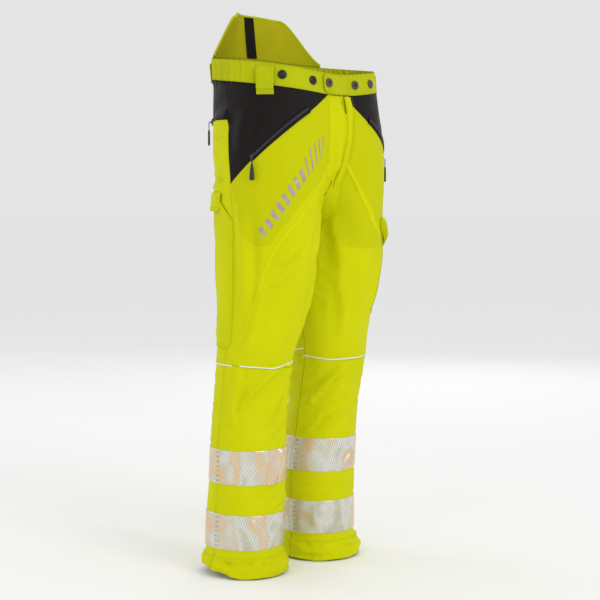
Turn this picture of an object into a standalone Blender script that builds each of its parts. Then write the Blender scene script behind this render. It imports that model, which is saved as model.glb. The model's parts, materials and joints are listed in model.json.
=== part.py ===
"""High-visibility chainsaw trousers with a high back, standing as if worn.

Metres, +Z up.  The front faces -Y and the wearer's right is -X.
Every cloth piece is a patch of one body form.  A patch is given by turns and heights:
turn 0 is the front centre line (the inseam below the crotch), 0.5 the outer side
seam and 1 the back centre line (again the inseam below the crotch).
"""
import math

import bmesh
import bpy
import numpy as np
from mathutils import Matrix, Vector

MM = 0.001

# ---------------------------------------------------------------- driving dimensions
RIGHT = -1
LEFT = 1
SIDES = {"right": RIGHT, "left": LEFT}

# Stations of one half of the body form, in millimetres:
# height, leg centre outward, leg centre back, half width, front depth, back depth, blend
STATIONS = (
    (0, 107, 33, 82, 84, 84, 6),
    (60, 106, 37, 80, 80, 80, 6),
    (200, 103, 33, 79, 80, 80, 6),
    (340, 109, 20, 75, 75, 75, 6),
    (420, 109, 6, 76, 76, 76, 6),
    (500, 102, -4, 83, 84, 84, 6),
    (580, 97, -12, 88, 98, 100, 6),
    (700, 97, -20, 88, 111, 116, 8),
    (740, 94, -20, 91, 113, 117, 12),
    (800, 89, -20, 100, 114, 117, 26),
    (860, 87, -17, 103, 115, 119, 36),
    (930, 83, -10, 101, 113, 117, 46),
    (1000, 80, -4, 99, 108, 112, 50),
    (1150, 78, 14, 97, 106, 112, 50),
)

SEAM = 0.2 * MM             # half of the gap between two pieces sewn edge to edge
TURN_SEAM = 0.0004          # the same gap as a share of a turn
COLUMNS = 32                # facets around one leg

SHELL = (-2.0 * MM, 0.0)    # inner and outer face of the outer fabric
HEM = (-3.2 * MM, 0.0)      # the turned-up hem is thicker
PAD = (-7.4 * MM, -3.2 * MM)
LINING = (-9.8 * MM, -8.8 * MM)
TRIM = (0.7 * MM, 1.5 * MM)
POCKET = (1.2 * MM, 4.4 * MM)

WAIST_FRONT = 0.964         # waist seam at the front centre
WAIST_RISE = 0.022          # half of its rise to the back
WAIST_EASE = 0.85           # the waist seam rises sooner than a plain cosine
BAND_HEIGHT = 0.042
BACK_RISE = 0.089           # the high back above the waistband
BACK_FOOT = 0.645           # turn where the high back starts to rise
BACK_SHOULDER = 0.795       # turn where it reaches full height
YOKE_LOW = 0.9145
KNEE = 0.434
KNEE_DIP = 0.008
HEM_TOP = 0.045
HIP_SIDE = 0.511            # turn of the upright rear edge of the black hip panel
HIP_TOP = {RIGHT: (0.088, 0.962), LEFT: (0.037, 0.962)}   # front tip of the hip panel: turn, height
HIP_TIP = (0.511, 0.789)    # lower rear tip
HIP_BULGE = {RIGHT: 0.018, LEFT: 0.006}     # rise of the diagonal above a straight line
BAND_HEIGHTS = {"upper": (0.190, 0.260), "lower": (0.058, 0.128)}

LOOP_WIDTH = 0.034
LOOP_DROP = 0.060
LOOP_CLEAR = 6.6 * MM       # room for a belt behind a loop
LOOP_THICK = 1.4 * MM
BUTTON_RADIUS = 8.8 * MM
BUTTON_HEIGHT = 3.4 * MM

ZIP_WIDTH = 5.0 * MM
ZIP_THICK = 1.3 * MM
SLIDER = (7.5 * MM, 11.0 * MM, 3.0 * MM)   # width, length, height
PULL_CORD_RADIUS = 1.0 * MM
PULL_LENGTH = 0.047
GRIP = (10.0 * MM, 4.4 * MM, 30.0 * MM)     # width, thickness, length

# ---------------------------------------------------------------- materials
PALETTE = {
    "shell_fabric": ((0.66, 0.69, 0.005), 0.72, 0.0),
    "band_fabric": ((0.56, 0.60, 0.006), 0.75, 0.0),
    "stretch_fabric": ((0.016, 0.014, 0.013), 0.62, 0.0),
    "inner_fabric": ((0.42, 0.40, 0.02), 0.85, 0.0),
    "lining_mesh": ((0.10, 0.10, 0.11), 0.9, 0.0),
    "pad_fibre": ((0.80, 0.78, 0.70), 0.95, 0.0),
    "webbing": ((0.014, 0.011, 0.010), 0.8, 0.0),
    "reflective_tape": ((0.60, 0.57, 0.54), 0.35, 0.0),
    "piping": ((0.80, 0.80, 0.78), 0.45, 0.0),
    "snap_metal": ((0.018, 0.017, 0.015), 0.38, 0.6),
    "zip_plastic": ((0.02, 0.02, 0.02), 0.5, 0.0),
    "grip_rubber": ((0.02, 0.019, 0.018), 0.55, 0.0),
}


def clear_scene():
    for found in list(bpy.data.objects):
        bpy.data.objects.remove(found, do_unlink=True)


def material(slot):
    found = bpy.data.materials.get(slot)
    if found:
        return found
    colour, roughness, metallic = PALETTE[slot]
    made = bpy.data.materials.new(slot)
    made.use_nodes = True
    shader = made.node_tree.nodes["Principled BSDF"]
    shader.inputs["Base Color"].default_value = (*colour, 1.0)
    shader.inputs["Roughness"].default_value = roughness
    shader.inputs["Metallic"].default_value = metallic
    made.diffuse_color = (*colour, 1.0)
    return made


# ---------------------------------------------------------------- the body form
def monotone_curve(heights, values):
    """A smooth curve through the stations that never overshoots them."""
    step = np.diff(heights)
    rise = np.diff(values) / step
    slope = np.zeros(len(values))
    for i in range(1, len(values) - 1):
        if rise[i - 1] * rise[i] > 0:
            before = 2 * step[i] + step[i - 1]
            after = step[i] + 2 * step[i - 1]
            slope[i] = (before + after) / (before / rise[i - 1] + after / rise[i])
    slope[0] = rise[0]
    slope[-1] = rise[-1]

    def at(height):
        height = np.clip(height, heights[0], heights[-1])
        i = np.clip(np.searchsorted(heights, height, side="right") - 1, 0, len(step) - 1)
        t = (height - heights[i]) / step[i]
        start = values[i] * (1 + 2 * t) * (1 - t) ** 2 + step[i] * slope[i] * t * (1 - t) ** 2
        end = values[i + 1] * t * t * (3 - 2 * t) + step[i] * slope[i + 1] * t * t * (t - 1)
        return start + end

    return at


TABLE = np.array(STATIONS, float) * MM
FORM = [monotone_curve(TABLE[:, 0], TABLE[:, i]) for i in range(1, 7)]
LN2 = math.log(2.0)


def section(z, offset):
    """The two blended ellipses of the form at height z, grown by offset."""
    out, back, half, front, rear, blend = [curve(z) for curve in FORM]
    half = half + offset
    front = front + offset
    rear = rear + offset
    round_up = 1 + blend * LN2 / np.minimum(half, front)
    reach = round_up ** 2 - (out / half) ** 2
    return out, back, half, front, rear, blend, reach


def crotch_height(offset):
    low, high = 0.65, 0.80
    for _ in range(40):
        middle = (low + high) / 2
        if section(middle, offset)[-1] > 0:
            high = middle
        else:
            low = middle
    return high


def skin(side, turn, z, offset):
    """Point of the form at a turn and a height, grown outward by offset."""
    turn, z, offset = np.broadcast_arrays(*(np.asarray(v, float) for v in (turn, z, offset)))
    out, back, half, front, rear, blend, reach = section(z, offset)
    root = np.sqrt(np.maximum(reach, 0))
    swing = 2 * np.pi * np.minimum(turn, 1 - turn)
    ease = (1 - swing / np.pi) ** 2
    lead = np.where(turn <= 0.5, np.arctan2(front * root, out), np.arctan2(rear * root, out))
    angle = swing + np.where(reach > 0, lead, 0) * ease
    cosine = np.cos(angle)
    sine = np.where(turn <= 0.5, 1, -1) * np.sin(angle)
    depth = np.where(sine >= 0, front, rear)
    small = np.minimum(half, front)

    def field(r):
        u = out - r * cosine
        y = -r * sine
        near = (np.sqrt(((u - out) / half) ** 2 + (y / depth) ** 2) - 1) * small
        far = (np.sqrt(((u + out) / half) ** 2 + (y / depth) ** 2) - 1) * small
        least = np.minimum(near, far)
        return least - blend * np.log(np.exp((least - near) / blend) + np.exp((least - far) / blend))

    low = np.zeros_like(z)
    high = np.where(cosine > 1e-6, out / np.maximum(cosine, 1e-6), 1.0)
    high = np.minimum(high, 0.5)
    for _ in range(40):
        middle = (low + high) / 2
        inside = field(middle) < 0
        low = np.where(inside, middle, low)
        high = np.where(inside, high, middle)
    radius = (low + high) / 2
    return np.stack([side * (out - radius * cosine + SEAM), back - radius * sine, z], -1)


def normal_at(side, turn, z):
    step = 0.002
    around = skin(side, turn + step, z, 0) - skin(side, turn - step, z, 0)
    upward = skin(side, turn, z + step, 0) - skin(side, turn, z - step, 0)
    normal = Vector(np.cross(around, upward)).normalized()
    centre = FORM[0](z) * 0.5 * side
    outward = Vector(skin(side, turn, z, 0)) - Vector((centre, FORM[1](z), z))
    return normal if normal.dot(outward) > 0 else -normal


# ---------------------------------------------------------------- seam lines
def waist_seam(turn, side=0):
    return WAIST_FRONT + WAIST_RISE * (1 - math.cos(math.pi * max(turn, 0.0) ** WAIST_EASE))


def band_top(turn, side=0):
    return waist_seam(turn) + BAND_HEIGHT


def back_top(turn, side=0):
    t = min(max((turn - BACK_FOOT) / (BACK_SHOULDER - BACK_FOOT), 0.02), 1.0)
    return band_top(turn) + BACK_RISE * t * t * (3 - 2 * t)


def hip_diagonal(turn, side):
    start, top = HIP_TOP[side]
    t = (turn - start) / (HIP_TIP[0] - start)
    return top + t * (HIP_TIP[1] - top) + HIP_BULGE[side] * math.sin(math.pi * t)


def front_thigh_top(turn, side):
    if turn < HIP_TOP[side][0]:
        return waist_seam(turn)
    return hip_diagonal(turn, side)


def knee_seam(turn, side=0):
    return KNEE - KNEE_DIP * max(0.0, math.sin(2 * math.pi * turn))


def level(value):
    """A seam line at one height."""
    return lambda turn, side: value


def shifted(line, amount):
    return lambda turn, side: line(turn, side) + amount


# ---------------------------------------------------------------- mesh makers
def add_mesh(name, verts, faces, slot, origin=None, smooth_angle=40):
    mesh = bpy.data.meshes.new(name)
    place = Vector(origin) if origin is not None else Vector((0, 0, 0))
    mesh.from_pydata([tuple(Vector(v) - place) for v in verts], [], faces)
    mesh.validate()
    work = bmesh.new()
    work.from_mesh(mesh)
    bmesh.ops.recalc_face_normals(work, faces=work.faces)
    work.to_mesh(mesh)
    work.free()
    mesh.shade_smooth()
    mesh.set_sharp_from_angle(angle=math.radians(smooth_angle))
    mesh.materials.append(material(slot))
    made = bpy.data.objects.new(name, mesh)
    made.location = place
    bpy.context.scene.collection.objects.link(made)
    return made


def turns_between(start, end, columns=COLUMNS):
    """Turns from start to end that include the shared facet edges between them."""
    first = math.floor(start * columns + 1e-6) + 1
    last = math.ceil(end * columns - 1e-6) - 1
    inner = [i / columns for i in range(first, last + 1)]
    spare = 0.25 / columns
    inner = [t for t in inner if t - start > spare and end - t > spare]
    return [start] + inner + [end]


def even_rows(count):
    return [i / count for i in range(count + 1)]


def shares(heights):
    """Row heights as shares of their whole span."""
    return [(z - heights[0]) / (heights[-1] - heights[0]) for z in heights]


def patch(name, columns, low, high, rows, layer, slot, ring=False, origin=None):
    """A closed cloth piece: columns of (side, turn) between two seam lines.

    layer gives the inner and outer offset, or is a function of (column share, row share).
    """
    faces_at = layer if callable(layer) else (lambda share, row: layer)
    count = len(columns)
    height = len(rows)
    verts = []
    for face in (1, 0):
        for i, (side, turn) in enumerate(columns):
            bottom = low(turn, side)
            top = high(turn, side)
            z = np.array([bottom + (top - bottom) * row for row in rows])
            share = i / max(count - 1, 1)
            offset = np.array([faces_at(share, row)[face] for row in rows])
            verts.extend(skin(side, turn, z, offset))

    def at(face, i, j):
        return (face * count + i % count) * height + j

    faces = []
    spans = count if ring else count - 1
    for i in range(spans):
        for j in range(height - 1):
            faces.append((at(0, i, j), at(0, i + 1, j), at(0, i + 1, j + 1), at(0, i, j + 1)))
            faces.append((at(1, i, j + 1), at(1, i + 1, j + 1), at(1, i + 1, j), at(1, i, j)))
        for j in (0, height - 1):
            faces.append((at(0, i, j), at(1, i, j), at(1, i + 1, j), at(0, i + 1, j)))
    if not ring:
        for i in (0, count - 1):
            for j in range(height - 1):
                faces.append((at(0, i, j), at(0, i, j + 1), at(1, i, j + 1), at(1, i, j)))
    return add_mesh(name, verts, faces, slot, origin)


def side_columns(side, start, end, columns=COLUMNS):
    return [(side, turn) for turn in turns_between(start, end, columns)]


def across_back(start, columns=COLUMNS):
    """Columns from the right side over the back centre line to the left side."""
    right = side_columns(RIGHT, start, 1 - TURN_SEAM, columns)
    left = side_columns(LEFT, start, 1 - TURN_SEAM, columns)
    return right + left[::-1]


def surface_frame(side, turn, z, offset):
    """Axes on the form: x along the cloth, y up the cloth, z straight out of it."""
    out = normal_at(side, turn, z)
    across = Vector((0, 0, 1)).cross(out).normalized()
    up = out.cross(across)
    place = Vector(skin(side, turn, z, offset))
    frame = Matrix((across, up, out)).transposed().to_4x4()
    frame.translation = place
    return frame


def turned(profile, segments=20):
    """Vertices and faces of a closed solid turned around its z axis."""
    verts = []
    for radius, z in profile[1:-1]:
        for i in range(segments):
            angle = 2 * math.pi * i / segments
            verts.append(Vector((radius * math.cos(angle), radius * math.sin(angle), z)))
    rings = len(profile) - 2
    faces = []
    for j in range(rings - 1):
        for i in range(segments):
            k = (i + 1) % segments
            faces.append((j * segments + i, j * segments + k, (j + 1) * segments + k, (j + 1) * segments + i))
    verts.append(Vector((0, 0, profile[0][1])))
    verts.append(Vector((0, 0, profile[-1][1])))
    for i in range(segments):
        k = (i + 1) % segments
        faces.append((len(verts) - 2, k, i))
        last = (rings - 1) * segments
        faces.append((len(verts) - 1, last + i, last + k))
    return verts, faces


def press_button(name, side, turn, z, base, frame_of=surface_frame):
    """A domed press button whose base lies at an offset from the form."""
    h, radius = BUTTON_HEIGHT, BUTTON_RADIUS
    profile = ((0, 0), (radius * 0.8, 0), (radius, 0.25 * h), (radius, 0.55 * h),
               (radius * 0.86, 0.85 * h), (radius * 0.62, h), (radius * 0.5, 0.82 * h), (0, 0.8 * h))
    frame = frame_of(side, turn, z, base)
    verts, faces = turned(profile)
    return add_mesh(name, [frame @ v for v in verts], faces, "snap_metal", smooth_angle=35)


def block(frame, size, offset=(0, 0, 0), bevel=0.0):
    """Vertices and faces of a box in a frame, with its long edges cut by a bevel."""
    x, y, z = (s / 2 for s in size)
    b = min(bevel, x * 0.9, y * 0.9)
    outline = ((-x + b, -y), (x - b, -y), (x, -y + b), (x, y - b),
               (x - b, y), (-x + b, y), (-x, y - b), (-x, -y + b))
    shift = Vector(offset)
    verts = [frame @ (Vector((px, py, pz)) + shift) for pz in (-z, z) for px, py in outline]
    count = len(outline)
    faces = [tuple(range(count - 1, -1, -1)), tuple(range(count, 2 * count))]
    for i in range(count):
        k = (i + 1) % count
        faces.append((i, k, count + k, count + i))
    return verts, faces


# ---------------------------------------------------------------- legs and hips
def thigh_rows(top):
    """Rows that lie closer together where the legs join."""
    heights = (KNEE, 0.50, 0.57, 0.63, 0.68, crotch_height(0), 0.735, 0.755, 0.79, 0.84, 0.88)
    return [(z - KNEE) / (top - KNEE) for z in heights + (top,)]


def shin_layer(share, row):
    """The shin and calf pieces are thicker at the turned-up hem."""
    return HEM if row < 0.12 else SHELL


def leg_panels(word, side):
    knee_low = shifted(knee_seam, -SEAM)
    knee_high = shifted(knee_seam, SEAM)
    front = side_columns(side, TURN_SEAM, HIP_SIDE - TURN_SEAM)
    rear = side_columns(side, HIP_SIDE + TURN_SEAM, 1 - TURN_SEAM)
    shin_rows = shares((0.0, HEM_TOP, HEM_TOP + 0.012, 0.12, 0.20, 0.28, 0.36, KNEE))
    patch(f"{word}_front_thigh_panel", front, knee_high, shifted(front_thigh_top, -SEAM),
          thigh_rows(WAIST_FRONT), SHELL, "shell_fabric")
    patch(f"{word}_back_thigh_panel", rear, knee_high, level(YOKE_LOW - SEAM),
          thigh_rows(YOKE_LOW), SHELL, "shell_fabric")
    patch(f"{word}_front_shin_panel", front, level(0.0), knee_low, shin_rows, shin_layer, "shell_fabric")
    patch(f"{word}_back_calf_panel", rear, level(0.0), knee_low, shin_rows, shin_layer, "shell_fabric")


def hip_panels(word, side):
    columns = side_columns(side, HIP_TOP[side][0] + 0.006, HIP_SIDE - TURN_SEAM)
    patch(f"{word}_hip_panel", columns, shifted(hip_diagonal, SEAM), shifted(waist_seam, -SEAM),
          even_rows(4), SHELL, "stretch_fabric")


def back_yoke():
    patch("back_yoke", across_back(HIP_SIDE + TURN_SEAM), level(YOKE_LOW + SEAM),
          shifted(waist_seam, -SEAM), even_rows(3), SHELL, "stretch_fabric")


def reflective_bands(word, side):
    ring = [(side, i / COLUMNS) for i in range(COLUMNS)]
    for place, (low, high) in BAND_HEIGHTS.items():
        patch(f"{word}_{place}_reflective_band", ring, level(low), level(high),
              even_rows(2), TRIM, "reflective_tape", ring=True)


def knee_piping(word, side):
    columns = side_columns(side, 0.03, 0.97)
    patch(f"{word}_knee_piping", columns, shifted(knee_seam, -1.6 * MM), shifted(knee_seam, 1.6 * MM),
          even_rows(1), (0.6 * MM, 2.2 * MM), "piping")


def leg_inserts(word, side):
    """The cut-protection pad and the lining; their rows lie at the same heights."""
    heights = [0.052, 0.12, 0.20, 0.28, 0.36, 0.44, 0.52, 0.60, 0.66]
    pad = side_columns(side, 0.03, 0.53)
    patch(f"{word}_cut_protection_pad", pad, level(heights[0]), level(heights[-1]), shares(heights),
          PAD, "pad_fibre")
    heights += [0.70, crotch_height(LINING[1]), 0.76, 0.80, 0.86, 0.955]
    lining = side_columns(side, 0.004, 0.996)
    patch(f"{word}_leg_lining", lining, level(heights[0]), level(heights[-1]), shares(heights),
          LINING, "lining_mesh")


# ---------------------------------------------------------------- waist
BAND = (-1.4 * MM, 1.2 * MM)
TAB = (3.0 * MM, 4.6 * MM)
BAND_FRONT_END = 0.366
BACK_BAND_START = 0.66


def band_piece(name, columns, slot="band_fabric", layer=BAND):
    patch(name, columns, shifted(waist_seam, SEAM), shifted(band_top, -SEAM), even_rows(2), layer, slot)


def waistband():
    for word, side in SIDES.items():
        band_piece(f"{word}_front_waistband", side_columns(side, 0.003, BAND_FRONT_END - TURN_SEAM))
        band_piece(f"{word}_elastic_waist",
                   side_columns(side, BAND_FRONT_END + TURN_SEAM, BACK_BAND_START - TURN_SEAM))
    band_piece("back_waistband", across_back(BACK_BAND_START + TURN_SEAM))


TAB_ROOT = 0.060            # turn of the tab's sewn end on the wearer's left
TAB_END = 0.112             # turn of its rounded end on the wearer's right
TAB_ROUND = 0.012           # radius of the rounded corners
TAB_MIDDLE = 0.986          # height of the closure snap


def waist_tab():
    left = side_columns(LEFT, 0.004, TAB_ROOT, 96)
    right = side_columns(RIGHT, 0.004, TAB_END, 96)
    tip = skin(RIGHT, TAB_END, TAB_MIDDLE, TAB[1])[0]

    def tuck(turn, side):
        past = TAB_ROUND - (skin(side, turn, TAB_MIDDLE, TAB[1])[0] - tip)
        past = min(max(past, 0.0), TAB_ROUND * 0.98)
        return TAB_ROUND - math.sqrt(TAB_ROUND ** 2 - past ** 2)

    def low(turn, side):
        return waist_seam(turn) + 1.5 * MM + tuck(turn, side)

    def high(turn, side):
        return band_top(turn) - 1.0 * MM - tuck(turn, side)

    hinge = skin(LEFT, TAB_ROOT, TAB_MIDDLE, (TAB[0] + TAB[1]) / 2)
    patch("waist_tab", left[::-1] + right, low, high, even_rows(2), TAB, "band_fabric", origin=hinge)


# (name, side, turn, height, base offset); the closure snap sits on the tab
BUTTON_BASE = BAND[1] + 0.4 * MM
BUTTONS = (
    ("right_side_brace_button", RIGHT, 0.307, 1.000, BUTTON_BASE),
    ("right_front_brace_button", RIGHT, 0.175, 0.991, BUTTON_BASE),
    ("left_front_brace_button", LEFT, 0.110, 0.987, BUTTON_BASE),
    ("left_side_brace_button", LEFT, 0.223, 0.992, BUTTON_BASE),
)
STUD = (0.080, 0.988)       # turn and height of the closure stud and its cap
BACK_BUTTON = (0.915, 1.108)


def buttons():
    for name, side, turn, z, base in BUTTONS:
        press_button(name, side, turn, z, base)
    for word, side in SIDES.items():
        press_button(f"{word}_back_brace_button", side, *BACK_BUTTON, 0.7 * MM, high_back_frame)
    cap = press_button("closure_snap_cap", RIGHT, *STUD, TAB[1] + 0.4 * MM)
    move_origin(cap, skin(LEFT, TAB_ROOT, TAB_MIDDLE, (TAB[0] + TAB[1]) / 2))
    frame = surface_frame(RIGHT, *STUD, BAND[1] + 0.3 * MM)
    verts, faces = turned(((0, 0), (4.5 * MM, 0), (4.5 * MM, 0.5 * MM), (3.0 * MM, 1.0 * MM), (0, 1.0 * MM)), 16)
    add_mesh("closure_snap_stud", [frame @ v for v in verts], faces, "snap_metal")


def move_origin(thing, place):
    """Put a piece's origin on its joint without moving its shape."""
    shift = thing.location - Vector(place)
    thing.data.transform(Matrix.Translation(shift))
    thing.location = place


CURL = 45.0 * MM            # how far the high back's right corner curls in
CURL_START = 0.96           # turn where the curl begins
CURL_FULL = 0.78            # turn where it is complete
STRAP = (0.952, 0.985)      # turns of the strap's edges on the right and the left


def curl(side, turn, rise):
    """Inward shift of the high back at a height above the waistband."""
    if side == LEFT:
        return 0.0
    t = min(max((CURL_START - turn) / (CURL_START - CURL_FULL), 0.0), 1.0)
    return CURL * t * t * (3 - 2 * t) * max(rise, 0.0) / BACK_RISE


def high_back_piece(name, columns, low, high, inner, outer, slot):
    """A layer of the high back, between offsets inner and outer of the curled form."""
    def layer(share, row):
        side, turn = columns[round(share * (len(columns) - 1))]
        z = low(turn, side) + (high(turn, side) - low(turn, side)) * row
        shift = curl(side, turn, z - band_top(turn))
        return inner - shift, outer - shift

    patch(name, columns, low, high, even_rows(4), layer, slot)


def high_back():
    high_back_piece("high_back_panel", across_back(BACK_FOOT + 0.02, 110), shifted(band_top, SEAM), back_top,
                    -1.6 * MM, 0.0, "shell_fabric")
    high_back_piece("high_back_lining", across_back(BACK_FOOT + 0.035, 110), shifted(band_top, 1.0 * MM),
                    shifted(back_top, -2.0 * MM), -3.6 * MM, -2.4 * MM, "inner_fabric")
    strap = [(side, turn) for side, turn in across_back(STRAP[0], 160) if side == RIGHT or turn > STRAP[1]]
    high_back_piece("back_stay_strap", strap, shifted(band_top, 2.0 * MM), shifted(back_top, -3.0 * MM),
                    -6.0 * MM, -4.4 * MM, "webbing")


def high_back_frame(side, turn, z, offset):
    """Like surface_frame, on the curled high back."""
    def at(t, h):
        return Vector(skin(side, t, h, -curl(side, t, h - band_top(t))))

    up = (at(turn, z + 0.004) - at(turn, z - 0.004)).normalized()
    out = (at(turn + 0.008, z) - at(turn - 0.008, z)).cross(up).normalized()
    if out.dot(normal_at(side, turn, z)) < 0:
        out = -out
    frame = Matrix((up.cross(out), up, out)).transposed().to_4x4()
    frame.translation = at(turn, z) + out * offset
    return frame


# ---------------------------------------------------------------- belt loops
LOOPS = {"right_front_belt_loop": (RIGHT, 0.366), "left_front_belt_loop": (LEFT, 0.430),
         "right_back_belt_loop": (RIGHT, 0.745), "left_back_belt_loop": (LEFT, 0.745)}


def belt_loop(name, side, turn):
    """A fabric loop: flat ends sewn to the band, standing off between them."""
    frame = surface_frame(side, turn, waist_seam(turn) + BAND_HEIGHT / 2, BAND[1] + 0.4 * MM)
    top = BAND_HEIGHT / 2 - 1.0 * MM
    bottom = top - LOOP_DROP
    end = 5.0 * MM
    bend = 5.0 * MM
    lift = LOOP_CLEAR
    inner = ((top, 0), (top - end, 0), (top - end - bend, lift), (bottom + end + bend, lift),
             (bottom + end, 0), (bottom, 0))
    outer = ((bottom, LOOP_THICK), (bottom + end - 1 * MM, LOOP_THICK),
             (bottom + end + bend - 1 * MM, lift + LOOP_THICK), (top - end - bend + 1 * MM, lift + LOOP_THICK),
             (top - end + 1 * MM, LOOP_THICK), (top, LOOP_THICK))
    outline = inner + outer
    half = LOOP_WIDTH / 2
    verts = [frame @ Vector((x, y, z)) for x in (-half, half) for y, z in outline]
    count = len(outline)
    faces = []
    strips = len(inner) - 1
    for k in range(2):
        for i in range(strips):
            faces.append(tuple(k * count + n for n in (i, i + 1, count - 2 - i, count - 1 - i)))
    for i in range(count):
        j = (i + 1) % count
        faces.append((i, j, count + j, count + i))
    add_mesh(name, verts, faces, "shell_fabric", smooth_angle=20)


# ---------------------------------------------------------------- curved zips
def circle_through(a, b, c):
    """Centre, unit axis and radius of the circle through three points."""
    ab = b - a
    ac = c - a
    axis = ab.cross(ac)
    size = axis.length_squared
    to_centre = (ac.length_squared * axis.cross(ab) + ab.length_squared * ac.cross(axis)) / (2 * size)
    return a + to_centre, axis.normalized(), to_centre.length


class CurvedZip:
    """A zip on an arc; share 0 is its closed end, where the slider rests."""

    def __init__(self, side, points, stand_off):
        places = []
        for turn, z in points:
            out = normal_at(side, turn, z)
            places.append(Vector(skin(side, turn, z, 0)) + out * stand_off)
        self.centre, self.axis, self.radius = circle_through(*places)
        self.start = places[0] - self.centre
        first = self.start.normalized()
        last = (places[2] - self.centre).normalized()
        self.sweep = math.acos(max(-1.0, min(1.0, first.dot(last))))

    def frame(self, share, lift):
        """x across the teeth, y along the zip, z away from the cloth."""
        spoke = Matrix.Rotation(self.sweep * share, 3, self.axis) @ self.start.normalized()
        along = self.axis.cross(spoke).normalized()
        across = along.cross(spoke).normalized()
        place = self.centre + spoke * (self.radius + lift)
        made = Matrix((across, along, spoke)).transposed().to_4x4()
        made.translation = place
        return made


ZIP_STAND_OFF = 2.2 * MM
FRONT_ZIP = {RIGHT: ((0.425, 0.8395), (0.320, 0.893), (0.210, 0.935)),
             LEFT: ((0.400, 0.8395), (0.300, 0.880), (0.190, 0.919))}
BACK_ZIP = ((0.658, 0.914), (0.765, 0.914), (0.872, 0.914))
FLY_STAND_OFF = 1.6 * MM
SLIDER_REST = 0.045         # share of the track where the slider rests


def zip_chain(name, track, steps=14):
    verts = []
    half = ZIP_WIDTH / 2
    thick = ZIP_THICK / 2
    for i in range(steps + 1):
        frame = track.frame(i / steps, 0)
        for x, z in ((-half, -thick), (half, -thick), (half, thick), (-half, thick)):
            verts.append(frame @ Vector((x, 0, z)))
    faces = [(3, 2, 1, 0), tuple(4 * steps + k for k in range(4))]
    for i in range(steps):
        for k in range(4):
            n = (k + 1) % 4
            faces.append((4 * i + k, 4 * i + n, 4 * i + 4 + n, 4 * i + 4 + k))
    add_mesh(name, verts, faces, "zip_plastic")


def zip_slider(name, track, size):
    """A slider over the chain; its origin is the centre of the zip's arc."""
    lift = ZIP_THICK / 2 + 0.3 * MM + size[2] / 2
    verts, faces = block(track.frame(SLIDER_REST, lift), size, bevel=2.2 * MM)
    add_mesh(name, verts, faces, "zip_plastic", origin=track.centre)
    return lift


def zip_pull(name, track, slider_lift):
    """A cord with a moulded grip that hangs straight down from the slider."""
    lift = slider_lift + SLIDER[2] / 2 + 0.3 * MM + GRIP[1] / 2
    place = track.frame(SLIDER_REST, lift).translation
    out = (place - Vector((track.centre.x, track.centre.y, place.z))).normalized()
    down = Vector((0, 0, -1))
    frame = Matrix((down.cross(out).normalized(), down, out)).transposed().to_4x4()
    frame.translation = place
    cord = PULL_CORD_RADIUS
    stations = ((-1.5 * MM, cord, cord), (0.0, 1.4 * cord, 1.4 * cord), (2.0 * MM, cord, cord),
                (PULL_LENGTH - GRIP[2], cord, cord),
                (PULL_LENGTH - GRIP[2] + 2 * MM, GRIP[0] / 2 * 0.8, GRIP[1] / 2),
                (PULL_LENGTH - 3 * MM, GRIP[0] / 2, GRIP[1] / 2), (PULL_LENGTH, GRIP[0] / 2 * 0.7, 1.2 * MM))
    segments = 10
    verts = []
    for y, wide, thick in stations:
        for k in range(segments):
            angle = 2 * math.pi * k / segments
            verts.append(frame @ Vector((wide * math.cos(angle), y, thick * math.sin(angle))))
    last = segments * (len(stations) - 1)
    faces = [tuple(range(segments)), tuple(last + k for k in reversed(range(segments)))]
    for i in range(len(stations) - 1):
        for k in range(segments):
            n = (k + 1) % segments
            faces.append((i * segments + k, i * segments + n, (i + 1) * segments + n, (i + 1) * segments + k))
    add_mesh(name, verts, faces, "grip_rubber", origin=place, smooth_angle=60)


def curved_zips():
    tracks = {
        "right_front_pocket": CurvedZip(RIGHT, FRONT_ZIP[RIGHT], ZIP_STAND_OFF),
        "left_front_pocket": CurvedZip(LEFT, FRONT_ZIP[LEFT], ZIP_STAND_OFF),
        "back_pocket": CurvedZip(RIGHT, BACK_ZIP, ZIP_STAND_OFF),
    }
    for word, track in tracks.items():
        zip_chain(f"{word}_zip_chain", track)
        lift = zip_slider(f"{word}_zip_slider", track, SLIDER)
        zip_pull(f"{word}_zip_pull", track, lift)


# ---------------------------------------------------------------- fly
# the placket welt on the wearer's left: height, turn of its free edge, turn of its sewn edge
FLY_WELT = ((0.786, 0.010, 0.036), (0.800, 0.011, 0.046), (0.822, 0.020, 0.058), (0.858, 0.037, 0.076),
            (0.888, 0.045, 0.083), (0.936, 0.037, 0.083), (0.9625, 0.026, 0.070))
FLY_RISE = 4.6 * MM
FLY_ZIP = ((0.0, 0.951), (0.0, 0.892), (0.0, 0.834))
FLY_SLIDER = (7.0 * MM, 10.0 * MM, 2.0 * MM)
FLY_PULL = (4.0 * MM, 20.0 * MM, 1.0 * MM)


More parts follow.
